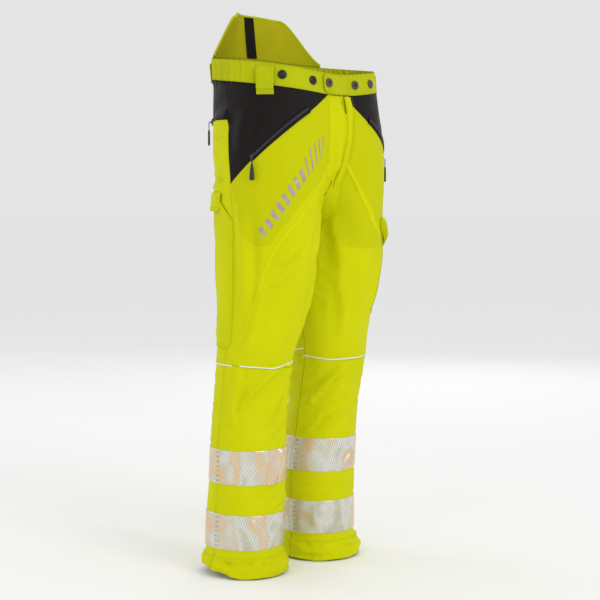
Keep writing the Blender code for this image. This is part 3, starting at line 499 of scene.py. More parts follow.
def drape():
    for side, height, width, path in FRONT_FOLDS:
        fold(side, path, FRONT_STRENGTH * height, width, lean=0.25)
    for side in (RIGHT, LEFT):
        across, up = SIDE_DRIFT[side]
        for height, width, path in BACK_FOLDS:
            fold(side, [(t - across, z + up) for t, z in path], BACK_STRENGTH * height, width, lean=0.3)
        for height, width, path in SIDE_GATHERS:
            fold(side, path, height, width, lean=0.3)

    legs = window(0.04, 0.90, 0.04)
    away_from_bands = 1 - 0.55 * window(0.055, 0.27, 0.02)
    add_noise(noise(3, 26, 0.09, 0.22, (1, 1, 0.45)), 2.2, legs)
    add_noise(noise(5, 34, 0.035, 0.080, (1, 1, 0.55)), 0.8, legs * away_from_bands)
    add_noise(noise(8, 40, 0.030, 0.070, (0.5, 0.5, 1.2), True), 0.9,
              window(0.36, 0.52, 0.05) * turn_window(0.56, 0.97, 0.06))
    add_noise(noise(9, 40, 0.028, 0.060, (1, 1, 0.5), True), 0.8,
              window(0.56, 0.80, 0.06) * (1 - turn_window(0.20, 0.80, 0.10)))
    add_noise(noise(12, 44, 0.022, 0.050, (0.7, 0.7, 1.0), True), 0.8, window(0.27, 0.42, 0.03))

    # pocket bags press through the front of the thighs
    for side, middle, half, bottom in ((RIGHT, 0.385, 0.088, 0.668), (LEFT, 0.245, 0.112, 0.660)):
        below = np.minimum(GZ - BAG_WIDEST, 0) / (BAG_WIDEST - bottom)
        inside = smooth(1.06, 0.95, np.hypot((GT - middle) / half, below))
        DROP[side] += 0.8 * MM * inside * smooth(0.90, 0.84, GZ)

    # cuffs bell out below the lower band and pinch at their stitching
    for side in (RIGHT, LEFT):
        cuff = window(0.004, 0.034, 0.014)
        DROP[side] += cuff * (3.2 + 1.2 * np.cos(2 * np.pi * GT * 2 + 1.1 * side)) * MM
        DROP[side] -= 1.6 * MM * window(0.047, 0.051, 0.006)
    crinkle = noise(21, 50, 0.016, 0.045, (1, 1, 0.8), True)
    add_noise(crinkle, 1.5, window(-0.01, 0.040, 0.010))

    # the tapes stiffen the cloth: each one pinches at its edges
    for low, high in BAND_HEIGHTS.values():
        for side in (RIGHT, LEFT):
            DROP[side] -= 0.8 * MM * (window(high + 0.002, high + 0.004, 0.005)
                                      + window(low - 0.004, low - 0.002, 0.005))

    # a tucked seam halfway between the two tapes
    for side in (RIGHT, LEFT):
        line = 0.157 + 0.003 * np.sin(2 * np.pi * GT * 2 + side)
        DROP[side] -= 0.9 * MM * np.exp(-((GZ - line) / 0.0022) ** 2)

    # nothing may push through a zip, a button or the closed fly
    for side in (RIGHT, LEFT):
        calm = np.zeros_like(GT)
        for start, end in zip(ZIP_LINE[side][:-1], ZIP_LINE[side][1:]):
            a = np.array([start[0] * GIRTH, start[1]])
            b = np.array([end[0] * GIRTH, end[1]])
            run = b - a
            x, z = GT * GIRTH - a[0], GZ - a[1]
            along = np.clip((x * run[0] + z * run[1]) / (run ** 2).sum(), 0, 1)
            apart = np.hypot(x - along * run[0], z - along * run[1])
            calm = np.maximum(calm, smooth(0.030, 0.012, apart))
        calm = np.maximum(calm, smooth(0.890, 0.908, GZ) * smooth(0.62, 0.65, GT))
        calm = np.maximum(calm, smooth(0.012, 0.006, GT) * smooth(0.80, 0.82, GZ))
        calm = np.maximum(calm, smooth(0.955, 0.968, GZ))
        if side == LEFT:
            calm = np.maximum(calm, 0.85 * smooth(0.075, 0.030, GT) * window(0.715, 0.810, 0.03))
        DROP[side] *= 1 - calm

    # gathers of the elastic waist
    for side in (RIGHT, LEFT):
        elastic = turn_window(0.41, 0.645, 0.02) * window(0.99, 1.028, 0.012)
        wobble = 0.35 * np.sin(GZ * 190 + 3 * side) + 0.5 * np.sin(GT * 61 + side)
        gather = np.sin(2 * np.pi * GT * GIRTH / 0.0105 + 2.2 * wobble)
        DROP[side] += elastic * 1.3 * MM * (gather + 0.4 * np.sin(2 * np.pi * GT * GIRTH / 0.019 + wobble))

    for side in (RIGHT, LEFT):
        DROP[side] = np.clip(DROP[side], -8 * MM, 9 * MM)


BAND_HEIGHTS = {"upper": (0.190, 0.260), "lower": (0.058, 0.128)}
ZIP_LINE = {RIGHT: ((0.445, 0.825), (0.425, 0.8395), (0.320, 0.893), (0.210, 0.935)),
            LEFT: ((0.425, 0.825), (0.400, 0.8395), (0.300, 0.880), (0.190, 0.919))}
BAG_WIDEST = 0.745          # height under which a pocket bag rounds off
MIDLINE_GAP = 0.15 * MM     # each leg's cloth stays this far from the middle

drape()
PLACE = {}
for side in (RIGHT, LEFT):
    PLACE[side] = BODY[side] + BODY_NORMAL[side] * DROP[side][..., None]
    legs_apart = (HEIGHTS < CROTCH + 0.001)[:, None]
    x = side * PLACE[side][..., 0]
    PLACE[side][..., 0] = side * np.where(legs_apart, np.maximum(x, MIDLINE_GAP), x)
NORMAL = normals_of(PLACE)


def cloth(side, turn, z, offset=0.0):
    """Point of the draped cloth at a turn and height, offset outward along its normal."""
    turn, z, offset = np.broadcast_arrays(*(np.asarray(v, float) for v in (turn, z, offset)))
    here, out = grid_at(side, turn, z)
    return here + out * offset[..., None]


def grid_at(side, turn, z, grids=None):
    """Interpolated place and unit normal; a turn below 0 or above 1 wraps or crosses over."""
    places, normals = grids or (PLACE, NORMAL)
    crossed = ((turn < 0) | (turn > 1)) & (z > CROTCH)
    wrapped = np.where(turn < 0, np.where(crossed, -turn, turn + 1),
                       np.where(turn > 1, np.where(crossed, 2 - turn, turn - 1), turn))
    place = np.zeros(turn.shape + (3,))
    out = np.zeros(turn.shape + (3,))
    for which in (side, -side):
        mine = (crossed if which != side else ~crossed)
        if not mine.any():
            continue
        u = np.clip(wrapped[mine], 0, 1) * (GRID_TURNS - 1)
        v = np.clip((z[mine] - GRID_LOW) / GRID_STEP, 0, len(HEIGHTS) - 1.001)
        i = np.minimum(u.astype(int), GRID_TURNS - 2)
        j = v.astype(int)
        fu, fv = (u - i)[:, None], (v - j)[:, None]
        for store, source in ((place, places[which]), (out, normals[which])):
            store[mine] = ((source[j, i] * (1 - fu) + source[j, i + 1] * fu) * (1 - fv)
                           + (source[j + 1, i] * (1 - fu) + source[j + 1, i + 1] * fu) * fv)
    return place, unit(out)


def stiff(side, turn, z, offset=0.0):
    """The same for a piece that keeps the CAD's shape, with no folds."""
    turn, z, offset = np.broadcast_arrays(*(np.asarray(v, float) for v in (turn, z, offset)))
    here, out = grid_at(side, turn, z, (BODY, BODY_NORMAL))
    return here + out * offset[..., None]


# ---------------------------------------------------------------- materials
class Shader:
    """A node material; every value that is the same all over sits on the shader itself."""

    def __init__(self, name, colour, roughness, **sockets):
        self.made = bpy.data.materials.new(name)
        self.made.use_nodes = True
        self.tree = self.made.node_tree
        self.shader = self.tree.nodes["Principled BSDF"]
        self.shader.inputs["Base Color"].default_value = (*colour, 1)
        self.shader.inputs["Roughness"].default_value = roughness
        for socket, value in sockets.items():
            name = socket.replace("_", " ")
            self.shader.inputs[name].default_value = (*value, 1) if isinstance(value, tuple) else value
        self.made.diffuse_color = (*colour, 1)
        self.cloth = self.node("ShaderNodeUVMap", uv_map="cloth").outputs[0]
        self.space = self.node("ShaderNodeTexCoord").outputs["Object"]
        self.height = None

    def node(self, kind, **settings):
        found = self.tree.nodes.new(kind)
        for key, value in settings.items():
            setattr(found, key, value)
        return found

    def join(self, source, target):
        self.tree.links.new(source, target)

    def fill(self, socket, value):
        if isinstance(value, bpy.types.NodeSocket):
            self.join(value, socket)
        else:
            socket.default_value = value

    def math(self, operation, a, b=0.0, clamp=False):
        found = self.node("ShaderNodeMath", operation=operation, use_clamp=clamp)
        self.fill(found.inputs[0], a)
        self.fill(found.inputs[1], b)
        return found.outputs[0]

    def axis(self, vector, which):
        split = self.node("ShaderNodeSeparateXYZ")
        self.join(vector, split.inputs[0])
        return split.outputs[which]

    def stretch(self, vector, scale, turn=(0, 0, 0)):
        found = self.node("ShaderNodeMapping")
        self.join(vector, found.inputs["Vector"])
        found.inputs["Scale"].default_value = scale
        found.inputs["Rotation"].default_value = turn
        return found.outputs[0]

    def noise(self, vector, scale, detail=3.0, roughness=0.55, distortion=0.0):
        found = self.node("ShaderNodeTexNoise")
        self.join(vector, found.inputs["Vector"])
        found.inputs["Scale"].default_value = scale
        found.inputs["Detail"].default_value = detail
        found.inputs["Roughness"].default_value = roughness
        found.inputs["Distortion"].default_value = distortion
        return found.outputs[0]

    def wave(self, value, period, phase=0.0):
        """A sine between -1 and 1 with a period in metres."""
        return self.math("SINE", self.math("ADD", self.math("MULTIPLY", value, 2 * math.pi / period), phase))

    def ramp(self, value, stops):
        found = self.node("ShaderNodeValToRGB")
        self.join(value, found.inputs[0])
        points = found.color_ramp.elements
        while len(points) < len(stops):
            points.new(0.5)
        for point, (place, colour) in zip(points, stops):
            point.position = place
            point.color = (*colour, 1)
        return found.outputs[0]

    def mix(self, share, a, b):
        found = self.node("ShaderNodeMix", data_type="RGBA")
        self.fill(found.inputs[0], share)
        self.fill(found.inputs[6], (*a, 1) if isinstance(a, tuple) else a)
        self.fill(found.inputs[7], (*b, 1) if isinstance(b, tuple) else b)
        return found.outputs[2]

    def range(self, value, low, high, to_low=0.0, to_high=1.0):
        found = self.node("ShaderNodeMapRange")
        for socket, number in zip(found.inputs, (value, low, high, to_low, to_high)):
            self.fill(socket, number)
        return found.outputs[0]

    def attribute(self, name):
        return self.node("ShaderNodeAttribute", attribute_name=name).outputs["Fac"]

    def paint(self, colour):
        self.join(colour, self.shader.inputs["Base Color"])
        return self

    def speckle(self, vector, scale, dark, light):
        """Paint an uneven tone between two colours."""
        return self.paint(self.ramp(self.noise(vector, scale), ((0.3, dark), (0.7, light))))

    def rough(self, value):
        self.join(value, self.shader.inputs["Roughness"])
        return self

    def bump(self, value, distance, strength=1.0):
        found = self.node("ShaderNodeBump")
        found.inputs["Distance"].default_value = distance
        found.inputs["Strength"].default_value = strength
        self.join(value, found.inputs["Height"])
        if self.height is not None:
            self.join(self.height, found.inputs["Normal"])
        self.height = found.outputs["Normal"]
        self.join(self.height, self.shader.inputs["Normal"])
        return self


def times(colour, factor):
    return tuple(c * factor for c in colour)


def woven(name, colour, deep, light, roughness, thread, weave_depth, crumple, twill=False, **sockets):
    """A cloth: woven threads, fine crumple, uneven dye, and painted shade with a little soiling along its
    seams.
    """
    s = Shader(name, colour, roughness, **sockets)
    u, v = s.axis(s.cloth, 0), s.axis(s.cloth, 1)
    if twill:
        over = s.wave(s.math("ADD", u, s.math("MULTIPLY", v, 0.7)), thread * 2)
        along = s.wave(v, thread)
        threads = s.math("ADD", over, s.math("MULTIPLY", along, 0.4))
    else:
        threads = s.math("MULTIPLY", s.wave(u, thread * 2), s.wave(v, thread * 2))
    dye = s.noise(s.space, 11.0, 4.0, 0.6, 0.4)
    fine = s.noise(s.stretch(s.cloth, (1, 0.35, 1)), 900.0, 2.0)
    tone = s.math("ADD", s.math("MULTIPLY", dye, 0.75), s.math("MULTIPLY", fine, 0.25))
    base = s.ramp(tone, ((0.12, deep), (0.50, colour), (0.90, light)))
    base = s.mix(s.attribute("doubled"), base, times(colour, 0.90))      # two layers look a shade deeper
    # painted shade: darker where the seam mark is set (seams, lapped edges, stitch lines), standing in for
    # the shade in their grooves, with a little soiling, uneven along its length
    seam = s.math("MULTIPLY", s.attribute("seam"), s.range(s.noise(s.space, 60.0), 0.3, 0.7, 0.12, 0.42))
    base = s.mix(seam, base, times(deep, 0.72))
    base = s.mix(s.range(threads, -1.0, -0.35, 0.20, 0.0), base, times(deep, 0.8))
    s.paint(base)
    s.rough(s.range(s.noise(s.space, 35.0), 0.25, 0.75, roughness - 0.07, roughness + 0.07))
    s.bump(s.noise(s.space, 46.0, 5.0, 0.62, 0.6), crumple, 0.6)
    s.bump(threads, weave_depth, 0.5)
    return s.made


def make_materials():
    yellow = (0.600, 0.625, 0.0012)
    m = {}
    # painted glow: the shell, band, elastic and seam tape cloths carry a faint emission of their own colour,
    # standing in for fluorescence and lifting their shade
    m["shell_fabric"] = woven("fluorescent_shell", yellow, (0.520, 0.548, 0.001), (0.655, 0.680, 0.003), 0.62,
                              0.45 * MM, 0.06 * MM, 0.9 * MM, Specular_IOR_Level=0.06,
                              Emission_Color=(0.68, 0.70, 0.0), Emission_Strength=0.04)
    m["band_fabric"] = woven("fluorescent_band", (0.475, 0.520, 0.004), (0.385, 0.42, 0.003),
                             (0.55, 0.595, 0.008), 0.66, 0.50 * MM, 0.08 * MM, 1.0 * MM, twill=True,
                             Specular_IOR_Level=0.08,
                             Emission_Color=(0.56, 0.60, 0.0), Emission_Strength=0.03)
    m["elastic_fabric"] = woven("gathered_elastic", (0.49, 0.525, 0.004), (0.39, 0.42, 0.003),
                                (0.57, 0.60, 0.008), 0.66, 0.50 * MM, 0.08 * MM, 1.2 * MM,
                                Specular_IOR_Level=0.08, Emission_Color=(0.56, 0.60, 0.0),
                                Emission_Strength=0.03)
    m["stretch_fabric"] = woven("black_stretch", (0.0090, 0.0066, 0.0060), (0.0062, 0.0046, 0.0044),
                                (0.0135, 0.0105, 0.0105), 0.52, 0.55 * MM, 0.10 * MM, 0.8 * MM, twill=True,
                                Specular_IOR_Level=0.13, Sheen_Weight=0.02, Sheen_Roughness=0.42,
                                Sheen_Tint=(0.75, 0.66, 0.78))
    m["seam_fabric"] = woven("seam_tape", (0.630, 0.645, 0.0014), (0.56, 0.58, 0.001), (0.68, 0.70, 0.003),
                             0.62, 0.45 * MM, 0.05 * MM, 0.3 * MM, Specular_IOR_Level=0.06,
                             Emission_Color=(0.68, 0.70, 0.0), Emission_Strength=0.04)
    m["inner_fabric"] = woven("inner_cloth", (0.47, 0.440, 0.006), (0.38, 0.350, 0.005), (0.54, 0.505, 0.010),
                              0.80, 0.60 * MM, 0.10 * MM, 1.0 * MM, Specular_IOR_Level=0.08)
    m["binding"] = woven("edge_binding", (0.50, 0.54, 0.004), (0.40, 0.43, 0.003), (0.58, 0.61, 0.008), 0.7,
                         0.8 * MM, 0.12 * MM, 0.4 * MM, twill=True, Specular_IOR_Level=0.10)

    s = Shader("webbing_black", (0.010, 0.008, 0.007), 0.72, Specular_IOR_Level=0.15)
    u, v = s.axis(s.cloth, 0), s.axis(s.cloth, 1)
    ribs = s.math("ADD", s.wave(v, 1.7 * MM), s.math("MULTIPLY", s.wave(u, 1.1 * MM), 0.6))
    s.speckle(s.cloth, 500.0, (0.007, 0.006, 0.005), (0.014, 0.011, 0.010))
    s.bump(ribs, 0.25 * MM)
    m["webbing"] = s.made

    # segmented tape: leaning stripes of silver foil over the cloth, with a pearly drift of colour painted
    # over the foil as iridescent reflection
    s = Shader("segmented_tape", (0.62, 0.60, 0.57), 0.36, Metallic=0.45)
    u, v = s.axis(s.cloth, 0), s.axis(s.cloth, 1)
    slant = s.math("ADD", s.math("MULTIPLY", u, 0.90), s.math("MULTIPLY", v, 0.42))
    line = s.wave(slant, 4.8 * MM)
    gap = s.range(line, 0.66, 0.86)
    drift = s.noise(s.stretch(s.cloth, (1.0, 0.45, 1.0), (0, 0, 0.5)), 15.0, 1.0, 0.45, 0.9)
    facets = s.noise(s.stretch(s.cloth, (1.0, 0.8, 1.0), (0, 0, -0.6)), 48.0, 1.0, 0.5, 0.4)
    shade = s.math("ADD", s.math("MULTIPLY", drift, 0.82), s.math("MULTIPLY", facets, 0.18))
    # painted reflection: the white, peach and lilac drift and its grey patches stand in for the tape's
    # iridescent shine
    painted_pearl_reflection = s.ramp(shade, ((0.26, (0.46, 0.44, 0.42)), (0.38, (0.60, 0.58, 0.54)), (0.45, (0.76, 0.76, 0.80)),
                           (0.51, (0.68, 0.66, 0.62)), (0.57, (0.82, 0.56, 0.38)), (0.63, (0.78, 0.64, 0.56)),
                           (0.70, (0.64, 0.56, 0.63)), (0.80, (0.50, 0.48, 0.47))))
    s.paint(s.mix(s.math("MULTIPLY", gap, 0.90), painted_pearl_reflection, (0.47, 0.47, 0.05)))
    s.rough(s.range(gap, 0.0, 1.0, 0.30, 0.7))
    s.bump(s.math("MULTIPLY", gap, -1.0), 0.25 * MM)
    s.bump(s.noise(s.cloth, 70.0, 2.0), 0.20 * MM, 0.4)
    m["reflective_tape"] = s.made

    s = Shader("lining_mesh", (0.10, 0.10, 0.11), 0.85, Sheen_Weight=0.2, Sheen_Roughness=0.5)
    u, v = s.axis(s.cloth, 0), s.axis(s.cloth, 1)
    rising = s.wave(s.math("ADD", u, v), 3.0 * MM)
    holes = s.math("MULTIPLY", rising, s.wave(s.math("SUBTRACT", u, v), 3.0 * MM))
    s.paint(s.mix(s.range(holes, 0.2, 0.6), (0.115, 0.115, 0.125), (0.02, 0.02, 0.022)))
    s.bump(s.math("MULTIPLY", holes, -1.0), 0.35 * MM)
    m["lining_mesh"] = s.made

    s = Shader("pad_fibre", (0.74, 0.72, 0.64), 0.95, Sheen_Weight=0.4, Sheen_Roughness=0.6)
    u, v = s.axis(s.cloth, 0), s.axis(s.cloth, 1)
    knit = s.math("ADD", s.wave(u, 2.4 * MM), s.math("MULTIPLY", s.wave(v, 1.6 * MM), 0.5))
    s.speckle(s.cloth, 260.0, (0.60, 0.58, 0.50), (0.80, 0.78, 0.70))
    s.bump(knit, 0.5 * MM)
    m["pad_fibre"] = s.made

    # painted glow: a faint white emission standing in for the piping's reflective shine
    s = Shader("reflective_piping", (0.86, 0.86, 0.84), 0.35, Metallic=0.1, Emission_Color=(0.9, 0.9, 0.88),
               Emission_Strength=0.05)
    u = s.axis(s.cloth, 0)
    s.speckle(s.cloth, 220.0, (0.78, 0.78, 0.76), (0.92, 0.92, 0.90))
    s.bump(s.wave(u, 1.3 * MM), 0.12 * MM)
    m["piping"] = s.made

    s = Shader("snap_black", (0.007, 0.006, 0.006), 0.34, Specular_IOR_Level=0.35)
    wear = s.range(s.noise(s.space, 900.0, 4.0, 0.7), 0.56, 0.70)
    worn = s.math("MULTIPLY", wear, s.attribute("edge"))
    black = s.ramp(s.noise(s.space, 300.0), ((0.3, (0.005, 0.0045, 0.004)), (0.7, (0.010, 0.009, 0.008))))
    s.paint(s.mix(worn, black, (0.09, 0.08, 0.08)))
    s.rough(s.range(s.noise(s.space, 420.0), 0.3, 0.7, 0.24, 0.42))
    s.bump(s.noise(s.space, 1400.0), 0.02 * MM)
    m["snap_metal"] = s.made

    s = Shader("snap_ring", (0.10, 0.075, 0.09), 0.36, Metallic=0.7)
    s.speckle(s.space, 500.0, (0.075, 0.058, 0.068), (0.13, 0.10, 0.115))
    s.bump(s.noise(s.space, 1600.0), 0.02 * MM)
    m["snap_ring"] = s.made

    s = Shader("zip_moulded", (0.016, 0.016, 0.017), 0.42, Coat_Weight=0.15)
    s.speckle(s.space, 700.0, (0.012, 0.012, 0.013), (0.024, 0.023, 0.024))
    s.bump(s.noise(s.space, 2200.0), 0.03 * MM)
    m["zip_plastic"] = s.made

    s = Shader("zip_tape", (0.013, 0.012, 0.012), 0.75, Sheen_Weight=0.2, Sheen_Roughness=0.4)
    s.speckle(s.space, 900.0, (0.009, 0.008, 0.008), (0.020, 0.018, 0.018))
    s.bump(s.noise(s.stretch(s.space, (1, 1, 3)), 1500.0), 0.08 * MM)
    m["zip_tape"] = s.made

    s = Shader("grip_rubber", (0.018, 0.017, 0.016), 0.50)
    s.speckle(s.space, 500.0, (0.013, 0.012, 0.012), (0.026, 0.024, 0.023))
    s.bump(s.noise(s.space, 1800.0), 0.05 * MM)
    m["grip_rubber"] = s.made

    s = Shader("pull_cord", (0.020, 0.018, 0.018), 0.8, Sheen_Weight=0.3, Sheen_Roughness=0.5)
    s.speckle(s.space, 1500.0, (0.010, 0.009, 0.009), (0.032, 0.029, 0.029))
    s.bump(s.wave(s.math("ADD", s.axis(s.cloth, 0), s.axis(s.cloth, 1)), 1.2 * MM), 0.2 * MM)
    m["pull_cord"] = s.made

    for name, colour in (("thread_yellow", (0.60, 0.62, 0.006)), ("thread_grey", (0.17, 0.16, 0.09))):
        s = Shader(name, colour, 0.6, Specular_IOR_Level=0.12)
        s.speckle(s.space, 1200.0, times(colour, 0.75), times(colour, 1.12))
        s.bump(s.noise(s.space, 3000.0), 0.05 * MM)
        m[name] = s.made

    s = Shader("printed_grey", (0.42, 0.36, 0.30), 0.40, Metallic=0.2)
    s.paint(s.ramp(s.noise(s.cloth, 70.0, 3.0), ((0.32, (0.33, 0.28, 0.245)), (0.55, (0.44, 0.375, 0.32)),
                                                  (0.75, (0.54, 0.47, 0.41)))))
    s.bump(s.noise(s.cloth, 800.0), 0.05 * MM)
    m["print"] = s.made
    return m


MATERIALS = make_materials()


# ---------------------------------------------------------------- mesh makers
def plain_uv(verts):
    """UVs in metres, straight from each vertex's place."""
    return np.stack([verts[:, 0] + verts[:, 1], verts[:, 2]], 1)


def build(name, verts, faces, finish, body="root", nodes=(), uv=None, marks=None, sharp=50):
    """One finished piece: smooth shaded, with a material, riding on a body."""
    mesh = bpy.data.meshes.new(name)
    mesh.from_pydata(np.asarray(verts).tolist(), [], [list(map(int, f)) for f in faces])
    mesh.update()
    index = np.zeros(len(mesh.loops), int)
    mesh.loops.foreach_get("vertex_index", index)
    layer = mesh.uv_layers.new(name="cloth")
    if uv is None:
        uv = plain_uv(np.asarray(verts))
    layer.data.foreach_set("uv", np.asarray(uv, float)[index].ravel())
    for key, values in (marks or {}).items():
        mesh.attributes.new(key, "FLOAT", "POINT").data.foreach_set("value", np.asarray(values, float))
    mesh.shade_smooth()
    if sharp:
        mesh.set_sharp_from_angle(angle=math.radians(sharp))
    made = bpy.data.objects.new(name, mesh)
    bpy.context.scene.collection.objects.link(made)
    mesh.materials.append(MATERIALS[finish])
    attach(made, body)
    if nodes:
        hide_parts(*nodes)
    return made


def grid_faces(columns, rows, start=0, ring=False, flip=False):
    i = np.arange(columns if ring else columns - 1)[:, None]
    j = np.arange(rows - 1)[None, :]
    k = (i + 1) % columns
    quads = np.stack([i * rows + j, k * rows + j, k * rows + j + 1, i * rows + j + 1], -1)
    quads = quads.reshape(-1, 4) + start
    return quads[:, ::-1] if flip else quads


def shell_faces(columns, rows, ring=False):
    """Faces of a closed sheet: outer grid, inner grid and the rim between them."""
    size = columns * rows
    faces = [grid_faces(columns, rows, 0, ring), grid_faces(columns, rows, size, ring, True)]
    i = np.arange(columns if ring else columns - 1)
    k = (i + 1) % columns
    for j, flip in ((0, True), (rows - 1, False)):
        rim = np.stack([i * rows + j, k * rows + j, size + k * rows + j, size + i * rows + j], -1)
        faces.append(rim if flip else rim[:, ::-1])
    if not ring:
        j = np.arange(rows - 1)
        for i, flip in ((0, False), (columns - 1, True)):
            rim = np.stack([i * rows + j, i * rows + j + 1, size + i * rows + j + 1, size + i * rows + j], -1)
            faces.append(rim[:, ::-1] if flip else rim)
    return np.concatenate(faces)


EDGE = np.array([0, 0.6, 1.3, 2.1, 2.9, 4.6, 6.4, 7.4, 8.4, 9.6]) * MM      # rows that follow a seam
CLOTH_STEP = 3.4 * MM


def stations(length, step):
    """Distances from 0 to length, closer together at both ends."""
    near = EDGE * min(1.0, 0.45 * length / EDGE[-1])
    count = max(2, int(math.ceil((length - 2 * near[-1]) / step)) + 1)
    middle = np.linspace(near[-1], length - near[-1], count)
    return np.concatenate([near[:-1], middle, length - near[:-1][::-1]])


def lay_columns(runs, step):
    """Columns over runs of (side, start turn, end turn): sides, turns, distances."""
    lengths = [abs(end - start) * GIRTH for _, start, end in runs]
    total = sum(lengths)
    sides, turns, dist = [], [], []
    for s in stations(total, step):
        past = 0.0
        for (side, start, end), length in zip(runs, lengths):
            if s <= past + length + 1e-9 or (side, start, end) == runs[-1]:
                share = (s - past) / length
                sides.append(side)
                turns.append(start + (end - start) * min(max(share, 0.0), 1.0))
                dist.append(s)
                break
            past += length
    return np.array(sides), np.array(turns), np.array(dist)


LAP = 0.5 * MM
ROLL = 0.5 * MM


def edge_profile(distance, kind, roll):
    """How the outer face lies near an edge: lapped over, tucked under or folded."""
    d = distance / MM
    shape = -roll * np.exp(-(d / 0.8) ** 2)
    if kind == "over":
        shape = shape + LAP * smooth(9.4, 8.3, d)
        shape = shape - 0.22 * MM * (np.exp(-((d - 2.1) / 0.7) ** 2) + np.exp(-((d - 7.4) / 0.7) ** 2))
    elif kind == "single":
        shape = shape + 0.35 * MM * smooth(5.4, 4.4, d) - 0.2 * MM * np.exp(-((d - 2.9) / 0.8) ** 2)
    elif kind == "under":
        shape = shape - 0.3 * MM * np.exp(-(d / 2.2) ** 2)
    return shape


def sample(where, sides, turns, z, offset):
    """where(side, turn, z, offset) over columns that may lie on both sides."""
    out = np.zeros(z.shape + (3,))
    for side in (RIGHT, LEFT):
        mine = sides == side
        if mine.any():
            out[mine] = where(side, turns[mine], z[mine], offset[mine])
    return out


def panel(name, runs, low, high, finish="shell_fabric", outer=0.0, inner=-1.4 * MM,
          kinds=("plain", "plain", "plain", "plain"), where=None, extra=None, body="root", nodes=(),
          step=CLOTH_STEP, ring=False, declare=True, roll=ROLL,
          inner_extra=None, warp=None, doubled=None):
    """A closed cloth piece between two seam lines.

    kinds are the edges' finishes: first column, last column, low line, high line.
    extra(turns, z, share across, share up) adds to both faces' offset, or only to the outer
    one where inner_extra is given.  warp(turns, z) gives the turns that the piece really has.
    """
    where = where or cloth
    if ring:
        side = runs[0][0]
        count = int(GIRTH / step)
        turns = np.arange(count) / count
        sides, dist = np.full(count, side), turns * GIRTH
    else:
        sides, turns, dist = lay_columns(runs, step)
    bottom = np.array([float(low(t, s)) for t, s in zip(turns, sides)])
    top = np.array([float(high(t, s)) for t, s in zip(turns, sides)])
    rows = stations((top - bottom).max(), step)
    reach = rows.max()
    near = EDGE[-1]
    fit = np.minimum(1.0, 0.45 * (top - bottom) / near)
    z = np.zeros((len(turns), len(rows)))
    for n, length in enumerate(top - bottom):
        inside = np.where(rows <= near + 1e-9, rows * fit[n],
                          np.where(rows >= reach - near - 1e-9, length - (reach - rows) * fit[n],
                                   near * fit[n] + (rows - near) / max(reach - 2 * near, 1e-9)
                                   * (length - 2 * near * fit[n])))
        z[n] = bottom[n] + inside
    gaps = []
    if not ring:
        gaps += [(np.broadcast_to(dist[:, None], z.shape), kinds[0]),
                 (np.broadcast_to((dist[-1] - dist)[:, None], z.shape), kinds[1])]
    gaps += [(z - bottom[:, None], kinds[2]), (top[:, None] - z, kinds[3])]
    parts = [edge_profile(d, kind, roll) for d, kind in gaps]
    shape = np.minimum.reduce([np.minimum(p, 0) for p in parts])
    shape = shape + np.maximum.reduce([np.maximum(p, 0) for p in parts])
    # the seam mark: painted shade along every edge of the piece, with a little soiling
    seam = np.max([np.exp(-(d / (1.6 * MM)) ** 2) for d, _ in gaps], axis=0)
    spread = turns[:, None] * np.ones_like(z)
    share = (dist / dist[-1])[:, None] * np.ones_like(z)
    up = (z - bottom[:, None]) / np.maximum(top - bottom, 1e-6)[:, None]
    more = extra(spread, z, share, up) if extra else 0.0
    inner_more = inner_extra(spread, z, share, up) if inner_extra else more
    if warp:
        spread = warp(spread, z)
    face_out = sample(where, sides, spread, z, outer + shape + more)
    face_in = sample(where, sides, spread, z, np.broadcast_to(inner + inner_more, z.shape))
    verts = np.concatenate([face_out.reshape(-1, 3), face_in.reshape(-1, 3)])
    uv = np.stack([np.broadcast_to(dist[:, None] * sides[0], z.shape), z], -1).reshape(-1, 2)
    marks = {"seam": np.tile(seam.ravel(), 2)}
    if doubled:
        marks["doubled"] = np.tile(doubled(spread, z).ravel(), 2)
    faces = shell_faces(len(turns), len(rows), ring)
    if sides[0] == LEFT and len(runs) == 1:
        faces = faces[:, ::-1]
    made = build(name, verts, faces, finish, body, nodes, np.concatenate([uv, uv]), marks)
    fix_normals(made)
    if declare:
        plain_face = sample(stiff, sides, spread, z, np.full(z.shape, outer))
        width, length, area = flat_size(plain_face, ring)
    return made


def fix_normals(made):
    work = bmesh.new()
    work.from_mesh(made.data)
    bmesh.ops.recalc_face_normals(work, faces=work.faces)
    work.to_mesh(made.data)
    work.free()


def flat_size(points, ring=False):
    """Width, length and area of the flat cut of a grid of points."""
    wide = np.linalg.norm(np.diff(points, axis=0), axis=-1)
    if ring:
        wide = np.concatenate([wide, np.linalg.norm(points[:1] - points[-1:], axis=-1)])
    tall = np.linalg.norm(np.diff(points, axis=1), axis=-1)
    width, length = wide.sum(0).max(), tall.sum(1).max()
    closed = np.concatenate([points, points[:1]]) if ring else points
    a, b = closed[1:, :-1] - closed[:-1, :-1], closed[:-1, 1:] - closed[:-1, :-1]
    c, d = closed[1:, :-1] - closed[1:, 1:], closed[:-1, 1:] - closed[1:, 1:]
    area = (np.linalg.norm(np.cross(a, b), axis=-1).sum() + np.linalg.norm(np.cross(c, d), axis=-1).sum()) / 2
    width, length = max(width, 0.0101), max(length, 0.0101)
    return float(width), float(length), float(min(max(area, 0.3001 * width * length), width * length))


# ---------------------------------------------------------------- paths, beads and stitches
def form_at(side, turn, z):
    """Place and normal on the unfolded form."""
    return grid_at(side, turn, z, (BODY, BODY_NORMAL))


def path_on(side, turns, heights, lift=0.0, at=None):
    """Points and normals of a path on the cloth, lifted off it."""
    turns, heights = np.broadcast_arrays(np.asarray(turns, float), np.asarray(heights, float))
    place, out = (at or grid_at)(side, turns, heights)
    return place + out * lift, out


